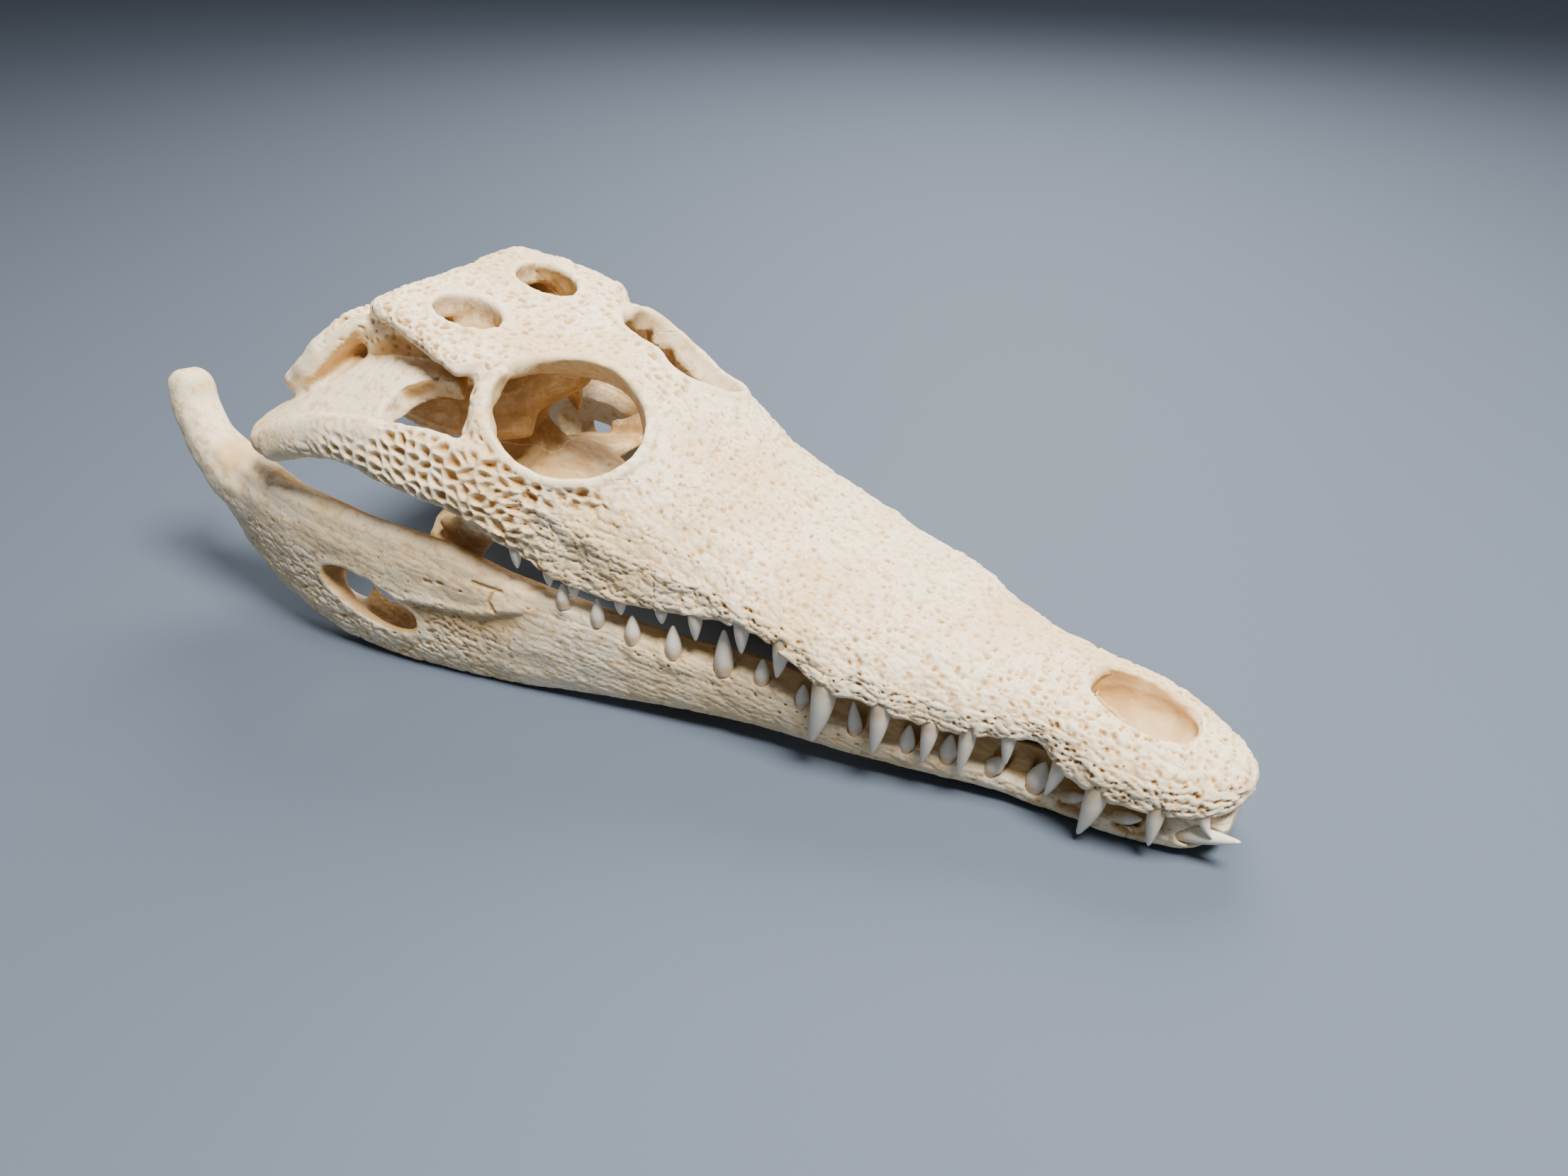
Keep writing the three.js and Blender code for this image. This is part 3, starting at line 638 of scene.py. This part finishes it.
# The relief of the cranium: small round pits on its top, rope-like ridges on the sides of the snout,
# a honeycomb of deep pits on the cheek, and smooth lips round the eyes and the nostril.
PATTERN_BEND = 0.8
PATTERN_SHIFT = {RIGHT: 900, LEFT: 1300}


def cell_walls(flat, size, seed):
    """For each point of a flat pattern the distances to the two nearest pit centres, and a number."""
    grid = flat / np.asarray(size, float)
    corner = np.floor(grid).astype(np.int64)
    near = np.full(len(flat), 9.0)
    next_near = np.full(len(flat), 9.0)
    kind = np.zeros(len(flat))
    for step in itertools.product((-1, 0, 1), repeat=2):
        place = np.zeros((len(flat), 3), np.int64)
        place[:, :2] = corner + np.array(step)
        middle = place[:, :2] + np.stack([0.12 + 0.76 * lattice(place, seed + k) for k in range(2)], 1)
        gap = np.linalg.norm(grid - middle, axis=1)
        closer = gap < near
        next_near = np.where(closer, near, np.minimum(next_near, gap))
        kind = np.where(closer, lattice(place, seed + 7), kind)
        near = np.where(closer, gap, near)
    return near, next_near, kind


def from_above(points):
    return (points + PATTERN_BEND * warp(points * 1.2))[:, :2] + PATTERN_SHIFT[RIGHT]


def from_the_side(points):
    """The side view, with a slope that lets the ridges run forwards and down."""
    bent = points + PATTERN_BEND * warp(points * 1.2)
    shift = np.where(points[:, 1] < 0, PATTERN_SHIFT[RIGHT], PATTERN_SHIFT[LEFT])
    return np.stack([bent[:, 0] + shift, bent[:, 2] + 0.25 * bent[:, 0] + PATTERN_SHIFT[RIGHT]], 1)


def where(mask, points, make):
    """Works out a relief only for the points that a mask lets through."""
    value = np.zeros(len(points))
    chosen = mask > 0.01
    if chosen.any():
        value[chosen] = make(points[chosen])
    return value * mask


def round_pits(view, size, share, seed, low=0.16, high=0.34):
    """Scattered round pits. The share is how many of the places hold one."""
    def make(points):
        near, _, kind = cell_walls(view(points), size, seed)
        radius = low + (high - low) * (kind * 7 % 1)
        return np.where(kind < share, 1 - ease(0.3 * radius, radius, near), 0)
    return make


def honeycomb(view, size, seed):
    """Pits that crowd each other and leave only walls between them."""
    def make(points):
        near, next_near, kind = cell_walls(view(points), size, seed)
        return ease(0.05, 0.8, next_near - near) * (0.6 + 0.4 * kind)
    return make


def ropes(view, size, seed, width=0.13):
    """Narrow grooves between long rounded ridges."""
    def make(points):
        near, next_near, kind = cell_walls(view(points), size, seed)
        return np.exp(-(next_near - near) / width) * (0.5 + 0.5 * kind)
    return make


def egg_gap(points, centre, long, cross, radii):
    """The distance from the wall of an egg-shaped opening, in millimetres, below 0 inside it."""
    long = Vector(long).normalized()
    depth = long.cross(Vector(cross).normalized()).normalized()
    axes = np.array((long, depth.cross(long), depth))
    reach = np.linalg.norm((points - centre) @ axes.T / radii, axis=1)
    return (reach - 1) * min(radii)


def nearest_egg(points, eggs):
    return np.min([egg_gap(points, *egg) for egg in eggs], axis=0)


def gap_in_side_view(points, place, stretch=1.0):
    """The distance from a place in the side view, with what lies along the skull stretched."""
    return np.linalg.norm((points - place) * (stretch, 0, 1), axis=1)


def mirrored(place, side, height, long, cross, radii):
    return [(spot(place, side * hand, height), (long[0], long[1] * hand, long[2]),
             (cross[0], cross[1] * hand, cross[2]), radii) for hand in (RIGHT, LEFT)]


EYES = mirrored(204.6, 31, 91.5, (-41.3, 12, 11.5), (9.3, -29, 18.5), (24.4, 20.8, 36))
UPPER_OPENINGS = mirrored(254.5, 18.4, 106, (-1, 0.1, 0.28), (0, 1, 0.1), (12.6, 9.8, 22))
SIDE_OPENINGS = mirrored(244.5, 49, 87.7, (-1, 0.1, 0), (0, 0.9, -0.42), (17.5, 14, 16))
NOSTRIL = [(spot(30, 0, 37), (1, 0, -0.05), (0, 1, 0), (15.5, 10.5, 11))]
ABOVE_NOSTRIL = spot(30, 0, 44)
EAR = spot(266, 0, 94)
UPPER_JOINT = spot(327, 0, 63)


def tooth_collars(points, jaw, hands):
    """The low swelling of the bone round each tooth."""
    swollen = np.zeros(len(points))
    for row, hand, root, _, _, _, radius in tooth_places():
        if row == jaw and hand in hands:
            gap = np.linalg.norm((points - np.array(root)) * (1, 1, 0.6), axis=1)
            swollen = np.maximum(swollen, radius / 3 * (1 - ease(0.7 * radius, 2.5 * radius, gap)))
    return swollen


points = places(cranium)
up = normals(cranium)
recess_shade_and_stain = read(cranium, "recess_shade_and_stain")
behind = SNOUT_TO_MIDDLE - points[:, 0]
side = np.abs(points[:, 1])
height = points[:, 2]
outward = up[:, 1] * np.sign(points[:, 1])
gum_height = height - tooth_line(behind)
eye_gap = nearest_egg(points, EYES)
upper_gap = nearest_egg(points, UPPER_OPENINGS)
side_gap = nearest_egg(points, SIDE_OPENINGS)
nose_gap = nearest_egg(points, NOSTRIL)
rear = ease(150, 165, behind)
in_eye = rear * (1 - ease(-1.5, 1.0, eye_gap)) * (1 - ease(228, 236, behind))
eye_lip = rear * (1 - ease(1.6, 3.2, eye_gap)) * (1 - ease(236, 246, behind))
upper_lip = (1 - ease(0.6, 2.5, upper_gap)) * ease(240, 244, behind)
nose_lip = (1 - ease(0.5, 2.5, nose_gap)) * (1 - ease(50, 60, behind))
open_bone = 1 - ease(0.62, 0.85, recess_shade_and_stain)
ear_shelf = ease(248, 256, behind) * (1 - ease(95, 98, height)) * ease(0.1, 0.4, up[:, 2])
back_wall = ease(287, 292, behind)
smooth = np.maximum.reduce([eye_lip, upper_lip, nose_lip, 0.85 * ear_shelf, 0.85 * back_wall])
to_nose = ABOVE_NOSTRIL - points
facing = np.einsum("ij,ij->i", up, to_nose) / np.linalg.norm(to_nose, axis=1)
in_nose = ease(0.05, 0.45, facing) * (1 - ease(0.6, 2.2, nose_gap)) * (1 - ease(50, 60, behind))
in_nose *= ease(20, 23, height)
rough = open_bone * (1 - smooth)

on_top = ease(0.4, 0.75, up[:, 2]) * rough
snout_top = on_top * (1 - ease(172, 190, behind))
roof_top = on_top * ease(172, 190, behind) * ease(84, 92, height)
on_side = (1 - ease(0.45, 0.8, up[:, 2])) * ease(0.0, 0.3, outward) * rough
snout_side = on_side * (1 - ease(205, 232, behind)) * ease(0.8, 3.0, gum_height)
cheek = ease(0.3, 0.6, outward) * rough * ease(196, 214, behind) * (1 - ease(262, 282, behind))
cheek *= ease(46, 51, side) * (1 - ease(86, 90, height))
under_eye = on_side * ease(172, 188, behind) * (1 - ease(205, 220, behind)) * (1 - ease(5, 12, eye_gap))
cheek = np.maximum(cheek, under_eye)
cheek_rear = ease(0.3, 0.6, outward) * rough * ease(255, 275, behind) * (1 - ease(300, 318, behind))
cheek_rear *= ease(50, 55, side)
roof_side = ease(0.2, 0.5, outward) * rough * ease(236, 246, behind) * ease(94, 99, height)
margin = on_side * (1 - ease(150, 175, behind)) * ease(1.0, 2.5, gum_height)
margin *= 1 - ease(8.0, 14.0, gum_height)
nose_side = on_side * (1 - ease(44, 60, behind)) * ease(1.0, 2.5, gum_height)
nose_top = on_top * (1 - ease(50, 70, behind)) * (1 - ease(8, 14, gum_height - 12))

pits = 1.0 * where(snout_top, points, round_pits(from_above, (3.4, 3.0), 0.55, 101))
pits += 0.55 * where(snout_top, points, round_pits(from_above, (2.2, 1.9), 0.45, 105))
pits += 1.3 * where(roof_top, points, round_pits(from_above, (3.9, 3.6), 0.8, 131, 0.2, 0.42))
pits += 0.75 * where(roof_top, points, round_pits(from_above, (2.2, 2.2), 0.5, 135))
cells = 2.6 * where(cheek, points, honeycomb(from_the_side, (4.3, 3.5), 151))
pits += 0.8 * where(roof_side, points, round_pits(from_the_side, (2.8, 2.4), 0.8, 161, 0.25, 0.45))
pits += 0.6 * where(snout_side, points, round_pits(from_the_side, (4.2, 3.0), 0.4, 165, 0.12, 0.26))
holes = 1.1 * where(margin, points, round_pits(from_the_side, (3.8, 2.8), 0.5, 171, 0.13, 0.24))
holes += 1.1 * where(nose_side, points, round_pits(from_the_side, (2.8, 2.8), 0.7, 175, 0.14, 0.26))
holes += 0.9 * where(nose_top, points, round_pits(from_above, (3.4, 3.4), 0.7, 179, 0.13, 0.25))
holes += 0.6 * where(on_top, points, round_pits(from_above, (4.3, 3.9), 0.75, 183, 0.11, 0.21))
holes += 0.7 * where(snout_side, points, round_pits(from_the_side, (4.0, 3.4), 0.6, 187, 0.1, 0.18))
lines = 0.85 * where(snout_side, points, ropes(from_the_side, (8.5, 2.7), 201))
lines += 0.45 * where(snout_side, points, ropes(from_the_side, (4.5, 1.6), 205))
lines += 0.6 * where(cheek_rear, points, ropes(from_the_side, (6.0, 2.4), 207))
lines += 0.75 * where(snout_top, points, ropes(from_above, (6.5, 3.0), 211))
lines += 0.45 * where(snout_top, points, ropes(from_above, (2.9, 2.2), 213))
lines += 0.75 * where(roof_top, points, ropes(from_above, (4.2, 3.6), 215))
swells = 0.55 * swell(points, (9.0, 7.0, 7.0), 221) * rough + 0.22 * swell(points, 3.1, 225) * rough
swells += 0.7 * swell(points, (22.0, 14.0, 14.0), 219) * rough * (1 - ease(170, 200, behind))
swells += 0.05 * swell(points, 1.6, 231)
suture = GROOVE_DEPTH * suture_groove(points, [PREMAXILLA_PART, MAXILLA_PART], open_bone)
raised = 0.6 * eye_lip * open_bone * (1 - in_eye) + 0.4 * upper_lip * open_bone
raised += 1.1 * rear * (1 - ease(3, 6, np.maximum(eye_gap, side_gap))) * (1 - in_eye)
raised += 0.9 * tooth_collars(points, "upper", (RIGHT, LEFT)) * ease(0.0, 0.4, outward) * open_bone
nose_rear = 5.5 * np.exp(-(((behind - 42) / 6) ** 2) - (side / 5) ** 2) + 1.8 * ease(0.3, 0.8, up[:, 2])
nose_rear *= in_nose
depth = pits + cells + holes + lines + suture + nose_rear - swells - raised
set_places(cranium, points - depth[:, None] * up)
joint_gap = gap_in_side_view(points, UPPER_JOINT) + 2 * np.maximum(0, 50 - side)
# Inside the eyes, the nostril and the upper openings the bone is painted brown, as painted shade with some
# staining.
inner = in_eye + in_nose * (0.9 + 0.25 * ease(34, 42, behind))
inner += (1 - ease(-1.5, 0.5, upper_gap)) * ease(240, 244, behind)
# The depth of each pit, hole, groove and suture is kept to paint them ochre and brown, as painted shade with
# some staining.
store(cranium, "pit_shade_and_stain", np.clip(0.6 * pits + 0.36 * cells + 1.4 * holes + 0.45 * lines + 0.5 * suture, 0, 1))
# Round the ear recess and the jaw joint the bone is also painted brown, as painted shade with some staining.
ear_gap = gap_in_side_view(points, EAR, 0.55)
in_ear = (1 - ease(6, 12, ear_gap)) * ease(28, 34, side) * (1 - ease(42, 47, side))
in_ear *= 1 - ease(0.3, 0.7, up[:, 2])
shade_and_stain_tint = np.maximum(0.62 * (1 - ease(3, 13, joint_gap)), 0.9 * in_ear)
store(cranium, "recess_shade_and_stain", np.clip(np.maximum.reduce([recess_shade_and_stain, 0.72 * np.clip(inner, 0, 1), shade_and_stain_tint]), 0, 1))

# The relief of the lower jaw: long fine grooves, a row of small openings below the teeth,
# rough hollows at the lower back, and a smooth upper edge.
LOWER_JOINT = spot(329, 0, 60)
JAW_CRACKS = (
    ((226, 39.3), (221, 38.4), (216.4, 37.6)), ((219.4, 36.6), (220.6, 33.6), (218.6, 30.4)),
    ((242.5, 36.6), (240.5, 36.3)), ((238, 36.8), (236.6, 36.5)),
)
jaw_ridge = profile(
    (200, 34), (215.3, 30.9), (222, 28.8), (231.2, 27.6), (244.8, 27.7), (254.8, 26.6), (262, 25),
)


def thin_line(behind, height, line):
    """How close each point is to a bent line in the side view, from 0 to 1."""
    gap = np.full(len(behind), 9.0)
    flat = np.stack([behind, height], 1)
    for start, end in itertools.pairwise(np.array(line)):
        run = end - start
        share = np.clip((flat - start) @ run / (run @ run), 0, 1)
        gap = np.minimum(gap, np.linalg.norm(flat - start - share[:, None] * run, axis=1))
    return 1 - ease(0.25, 0.9, gap)


for hand, jaw in jaws.items():
    points = places(jaw)
    up = normals(jaw)
    recess_shade_and_stain = read(jaw, "recess_shade_and_stain")
    behind = SNOUT_TO_MIDDLE - points[:, 0]
    height = points[:, 2]
    outward = up[:, 1] * hand
    open_bone = 1 - ease(0.55, 0.8, recess_shade_and_stain)
    outer = ease(0.0, 0.35, outward) * open_bone
    gum = lower_gum(behind)
    window_gap = egg_gap(points, spot(267, 67 * hand, 23.3), (-1, 0, 0.36), (0, 1, 0), (19.5, 22, 8.3))
    socket_gap = nearest_egg(points, [
        (spot(24, 17.5 * hand, 6.2), (-1, 0.1 * hand, 0), (0, 0, 1), (6.2, 4.6, 4)),
        (spot(40.5, 19 * hand, 6), (-1, 0, 0), (0, 0, 1), (5.6, 4.6, 4)),
    ])
    in_window = (1 - ease(-0.6, 0.8, window_gap)) * (1 - ease(2.0, 5.0, height - 30))
    front = outer * (1 - ease(190, 220, behind))
    low_rear = ease(200, 235, behind) * (1 - ease(325, 342, behind))
    low_rear *= outer * (1 - ease(24, 36, height - 0.16 * (behind - 250))) * ease(0.5, 2.0, window_gap)
    upper_rear = outer * ease(185, 215, behind) * (1 - ease(300, 330, behind)) * (1 - low_rear)
    below_gum = gum - height
    margin = outer * (1 - ease(175, 195, behind)) * ease(1.5, 3, below_gum) * (1 - ease(6, 9, below_gum))
    lines = 0.45 * where(front, points, ropes(from_the_side, (17.0, 2.4), 301))
    lines += 0.3 * where(front, points, ropes(from_the_side, (8.0, 1.5), 305))
    lines += 0.8 * where(low_rear, points, ropes(from_the_side, (9.0, 2.9), 311))
    lines += 0.4 * where(low_rear, points, ropes(from_the_side, (4.0, 1.7), 315))
    lines += 0.25 * where(upper_rear, points, ropes(from_the_side, (14.0, 3.2), 321))
    pits = 0.8 * where(low_rear, points, round_pits(from_the_side, (4.6, 3.2), 0.6, 331))
    holes = 0.9 * where(margin, points, round_pits(from_the_side, (4.0, 3.0), 0.5, 341, 0.1, 0.2))
    holes += 0.7 * where(upper_rear, points, round_pits(from_the_side, (9.0, 4.0), 0.3, 345, 0.05, 0.1))
    swells = 0.3 * swell(points, (11.0, 8.0, 6.0), 351) * open_bone + 0.05 * swell(points, 1.8, 361)
    ridge_gap = height - jaw_ridge(behind)
    ridge_run = outer * ease(206, 216, behind) * (1 - ease(246, 258, behind))
    lines += 0.9 * ridge_run * ease(-14, -2, ridge_gap) * (1 - ease(-1.6, -0.2, ridge_gap))
    cracks = np.max([thin_line(behind, height, line) for line in JAW_CRACKS], axis=0) * outer
    raised = 0.5 * tooth_collars(points, "lower", (hand,)) * outer
    raised += 0.5 * ridge_run * np.exp(-((ridge_gap - 0.8) / 1.6) ** 2)
    sunken = 3.0 * (1 - ease(-1.5, 0.8, socket_gap)) * ease(0.0, 0.3, outward)
    depth = pits + holes + lines + 0.5 * cracks + sunken - swells - raised
    sculpted = points - depth[:, None] * up
    sculpted[:, 2] = np.maximum(sculpted[:, 2], 0)
    set_places(jaw, sculpted)
    # The ledge behind the outer wall, the opening at the back, the two big front sockets and the jaw joint
    # are painted brown, as painted shade with some staining.
    ledge = ease(-0.4, 0.8, height - gum) * (1 - ease(204, 222, behind)) * ease(10, 20, behind)
    shade_and_stain_tint = 0.62 * (1 - ease(5, 15, gap_in_side_view(points, LOWER_JOINT)))
    in_socket = 0.8 * (1 - ease(-0.8, 1.0, socket_gap)) * ease(0.0, 0.3, outward)
    # The depth of the pits, holes, grooves and cracks is kept to paint them ochre and brown, as painted shade
    # with some staining.
    store(jaw, "pit_shade_and_stain", np.clip(0.6 * pits + 1.3 * holes + 0.45 * lines + 0.8 * cracks, 0, 1))
    hollows = [recess_shade_and_stain, 0.85 * in_window, 0.68 * ledge, in_socket, shade_and_stain_tint]
    store(jaw, "recess_shade_and_stain", np.clip(np.maximum.reduce(hollows), 0, 1))

# The bones of the cranium are parted along their sutures, and each takes the place of its solid.
# They stay loose from one another, as in a skull that hasn't yet grown together.
# The ochre makes the flecks and specks, and both ochre and brown also paint the shade in the pits and where
# the bone is sheltered, with some staining.
BONE = {"pale": (0.85, 0.735, 0.54), "warm": (0.77, 0.60, 0.365)}
BONE["ochre"] = (0.60, 0.395, 0.175)
BONE["brown"] = (0.40, 0.225, 0.085)


def add_node(tree, kind, **settings):
    node = tree.nodes.new(kind)
    for name, value in settings.items():
        setattr(node, name, value)
    return node


def mix(tree, amount, first, second):
    node = add_node(tree, "ShaderNodeMix", data_type="RGBA")
    tree.links.new(amount, node.inputs["Factor"])
    tree.links.new(first, node.inputs["A"])
    tree.links.new(second, node.inputs["B"])
    return node.outputs["Result"]


def math_node(tree, operation, *values):
    node = add_node(tree, "ShaderNodeMath", operation=operation)
    for socket, value in zip(node.inputs, values):
        if isinstance(value, (int, float)):
            socket.default_value = value
        else:
            tree.links.new(value, socket)
    return node.outputs[0]


def spread(tree, value, low, high):
    node = add_node(tree, "ShaderNodeMapRange", interpolation_type="SMOOTHSTEP")
    tree.links.new(value, node.inputs["Value"])
    node.inputs["From Min"].default_value = low
    node.inputs["From Max"].default_value = high
    return node.outputs["Result"]


def cloud(tree, where_from, scale, detail):
    node = add_node(tree, "ShaderNodeTexNoise")
    tree.links.new(where_from, node.inputs["Vector"])
    node.inputs["Scale"].default_value = scale
    node.inputs["Detail"].default_value = detail
    return node.outputs["Fac"]


def aged_bone():
    """Old dry bone: pale where it is open, ochre in its pits and brown where it is sheltered, as painted
    shade with some staining.
    """
    tree = bpy.data.node_groups.new("aged_bone", "ShaderNodeTree")
    for name, kind in (("Pale", "Color"), ("Warm", "Color"), ("Ochre", "Color"), ("Brown", "Color"),
                       ("Recess_shade_and_stain", "Float"), ("Pit_shade_and_stain", "Float")):
        tree.interface.new_socket(name, in_out="INPUT", socket_type=f"NodeSocket{kind}")
    for name, kind in (("Color", "Color"), ("Roughness", "Float"), ("Height", "Float")):
        tree.interface.new_socket(name, in_out="OUTPUT", socket_type=f"NodeSocket{kind}")
    given = tree.nodes.new("NodeGroupInput").outputs
    result = tree.nodes.new("NodeGroupOutput").inputs
    place = tree.nodes.new("ShaderNodeTexCoord").outputs["Object"]
    broad = cloud(tree, place, 32, 3)
    middle = cloud(tree, place, 140, 4)
    fine = cloud(tree, place, 900, 5)
    warm = spread(tree, broad, 0.38, 0.66)
    colour = mix(tree, warm, given["Pale"], given["Warm"])
    flecks = math_node(tree, "MULTIPLY", spread(tree, cloud(tree, place, 330, 5), 0.53, 0.64), 0.62)
    colour = mix(tree, flecks, colour, given["Ochre"])
    specks = math_node(tree, "MULTIPLY", spread(tree, fine, 0.58, 0.72), 0.5)
    colour = mix(tree, specks, colour, given["Ochre"])
    # Ochre, then brown in the deeper pits, holes and grooves: painted shade with some staining.
    patch = math_node(tree, "MULTIPLY_ADD", middle, 0.5, 0.75)
    shade_and_stain_tint = math_node(tree, "MULTIPLY", given["Pit_shade_and_stain"], patch)
    colour = mix(tree, spread(tree, shade_and_stain_tint, 0.03, 0.6), colour, given["Ochre"])
    colour = mix(tree, spread(tree, shade_and_stain_tint, 0.45, 1.0), colour, given["Brown"])
    # Ochre, then brown where little sky reaches: painted shade with some staining.
    wander = math_node(tree, "MULTIPLY_ADD", middle, 0.3, -0.15)
    hidden = math_node(tree, "ADD", given["Recess_shade_and_stain"], wander)
    colour = mix(tree, spread(tree, hidden, 0.40, 0.72), colour, given["Ochre"])
    colour = mix(tree, spread(tree, hidden, 0.62, 0.98), colour, given["Brown"])
    tree.links.new(colour, result["Color"])
    gloss = math_node(tree, "MULTIPLY_ADD", fine, 0.3, 0.45)
    tree.links.new(gloss, result["Roughness"])
    grain = math_node(tree, "MULTIPLY_ADD", fine, 0.6, middle)
    tree.links.new(grain, result["Height"])
    return tree


BONE_GROUP = aged_bone()


def bone_paint(name, colours):
    paint = bpy.data.materials.new(name)
    paint.use_nodes = True
    tree = paint.node_tree
    shader = tree.nodes["Principled BSDF"]
    group = add_node(tree, "ShaderNodeGroup", node_tree=BONE_GROUP)
    for key, colour in colours.items():
        group.inputs[key.capitalize()].default_value = (*colour, 1.0)
    # The two surface marks that paint shade, with some staining, into the bone's colour.
    for key in ("Recess_shade_and_stain", "Pit_shade_and_stain"):
        layer = add_node(tree, "ShaderNodeAttribute", attribute_name=key.lower())
        tree.links.new(layer.outputs["Fac"], group.inputs[key])
    tree.links.new(group.outputs["Color"], shader.inputs["Base Color"])
    tree.links.new(group.outputs["Roughness"], shader.inputs["Roughness"])
    bump = add_node(tree, "ShaderNodeBump")
    bump.inputs["Strength"].default_value = 0.35
    bump.inputs["Distance"].default_value = 0.0006
    tree.links.new(group.outputs["Height"], bump.inputs["Height"])
    tree.links.new(bump.outputs["Normal"], shader.inputs["Normal"])
    shader.inputs["Specular IOR Level"].default_value = 0.35
    return paint


bone_finish = bone_paint("bleached_bone", BONE)


def finish_bone(bone, node):
    """Smooths the bone's shading, gives it its finish and puts it in its solid's place."""
    activate(bone)
    bpy.ops.object.shade_smooth()
    bone.name = f"bone_{node}"
    bone.data.materials.clear()
    bone.data.materials.append(bone_finish)
    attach(bone, "root")
    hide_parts(node)


finish_bone(part_along(cranium, PREMAXILLA_PART, "premaxilla"), "premaxilla")
finish_bone(part_along(cranium, MAXILLA_PART, "maxilla"), "maxilla")
finish_bone(part_along(cranium, ROOF_PART, "roof"), "skull_roof")
for side_name, hand in SIDES:
    finish_bone(part_along(cranium, cheek_part(hand), "cheek"), f"jugal_{side_name}")
    finish_bone(part_along(cranium, quadrate_part(hand), "quadrate"), f"quadrate_{side_name}")
finish_bone(part_along(cranium, PALATINE_PART, "palatine"), "palatine")
finish_bone(part_along(cranium, BRAINCASE_PART, "braincase"), "braincase")
for side_name, hand in SIDES:
    strut = half_space((0, hand, 0), spot(200, 38.5 * hand, 0))
    finish_bone(part_along(cranium, strut, "strut"), f"ectopterygoid_{side_name}")
finish_bone(cranium, "pterygoid")

# The three bones of each side of the lower jaw are parted in the same way.
# The halves meet in front, under the snout tip.
for side_name, hand in SIDES:
    jaw = jaws[hand]
    dentary = part_along(jaw, half_space((1, 0, -0.35), spot(206, 0, 20)), "dentary")
    finish_bone(dentary, f"dentary_{side_name}")
    surangular = part_along(jaw, half_space((1, 0, 0.25), spot(313, 0, 40)), "surangular")
    finish_bone(surangular, f"surangular_{side_name}")
    finish_bone(jaw, f"articular_{side_name}")

# The teeth are cones of enamel, ringed at the root and slightly ribbed along their length.
# Each stands in its socket and leans inwards and back towards the tip.
TOOTH_SIDES, TOOTH_RINGS = 24, 24
ENAMEL_PROFILE = profile(
    (-4.5, 0.9), (-1.0, 1.0), (0.0, 1.0), (0.1, 0.98), (0.3, 0.9), (0.5, 0.75), (0.7, 0.55), (0.85, 0.35),
    (0.95, 0.2), (1.0, 0.0),
)

enamel = bpy.data.materials.new("old_enamel")
enamel.use_nodes = True
tree = enamel.node_tree
shader = tree.nodes["Principled BSDF"]
along = add_node(tree, "ShaderNodeAttribute", attribute_name="crown")
pale_tip = add_node(tree, "ShaderNodeRGB")
pale_tip.outputs[0].default_value = (0.76, 0.705, 0.61, 1.0)
stained_root = add_node(tree, "ShaderNodeRGB")
stained_root.outputs[0].default_value = (0.58, 0.44, 0.265, 1.0)
place = tree.nodes.new("ShaderNodeTexCoord").outputs["Object"]
streak = math_node(tree, "MULTIPLY_ADD", cloud(tree, place, 260, 4), 0.5, -0.25)
reach = math_node(tree, "ADD", along.outputs["Fac"], streak)
tint = mix(tree, spread(tree, reach, -0.1, 0.3), stained_root.outputs[0], pale_tip.outputs[0])
tree.links.new(tint, shader.inputs["Base Color"])
shader.inputs["Roughness"].default_value = 0.3
shader.inputs["Subsurface Weight"].default_value = 0.15
shader.inputs["Subsurface Radius"].default_value = (0.002, 0.0014, 0.0009)


def grow_tooth(root, rise, bend, crown, radius):
    bpy.ops.object.select_all(action="DESELECT")
    bpy.ops.mesh.primitive_uv_sphere_add(segments=TOOTH_SIDES, ring_count=TOOTH_RINGS, radius=1.0)
    tooth = bpy.context.object
    ball = places(tooth) * MILLIMETRE
    t = np.arccos(np.clip(-ball[:, 2], -1, 1)) / math.pi
    flat = np.linalg.norm(ball[:, :2], axis=1)
    turn = ball[:, :2] / np.maximum(flat, 1e-6)[:, None]
    climb = -SOCKET_DEPTH + 0.3 + (crown + SOCKET_DEPTH - 0.3) * ease(0, 1, t) ** 0.9
    part_of_crown = climb / crown
    wide = radius * ENAMEL_PROFILE(np.where(climb < 0, climb, part_of_crown))
    wide *= ease(0.0, 0.08, t) * (1 + 0.07 * np.abs(turn[:, 0]) ** 12)
    wide = np.where(flat < 1e-4, 0, wide)
    across = Vector((1, 0, 0)) if abs(rise.x) < 0.8 else Vector((0, 0, 1))
    side = rise.cross(across).normalized()
    front = side.cross(rise)
    curve = np.maximum(part_of_crown, 0)[:, None] ** 2 * np.array(bend)
    points = np.array(root) + climb[:, None] * np.array(rise) + curve
    points += (wide * turn[:, 1])[:, None] * np.array(side) + (wide * turn[:, 0])[:, None] * np.array(front)
    set_places(tooth, points)
    bpy.ops.object.mode_set(mode="EDIT")
    bpy.ops.mesh.select_all(action="SELECT")
    bpy.ops.mesh.normals_make_consistent(inside=False)
    bpy.ops.object.mode_set(mode="OBJECT")
    store(tooth, "crown", np.clip(part_of_crown, 0, 1))
    return tooth


rows = {}
for row, hand, root, rise, bend, crown, radius in tooth_places():
    rows.setdefault((row, hand), []).append(grow_tooth(root, rise, bend, crown, radius))
for (row, hand), teeth in rows.items():
    bpy.ops.object.select_all(action="DESELECT")
    for tooth in teeth:
        tooth.select_set(True)
    bpy.context.view_layer.objects.active = teeth[0]
    bpy.ops.object.transform_apply(location=True, rotation=True, scale=True)
    bpy.ops.object.join()
    bpy.ops.object.shade_smooth()
    teeth_row = bpy.context.object
    teeth_row.name = f"{row}_teeth_{'right' if hand == RIGHT else 'left'}"
    teeth_row.data.materials.append(enamel)
    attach(teeth_row, "root")

sizes = {"cad": cad_box, "visual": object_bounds()}
{key: [list(corner) for corner in box] for key, box in sizes.items()}
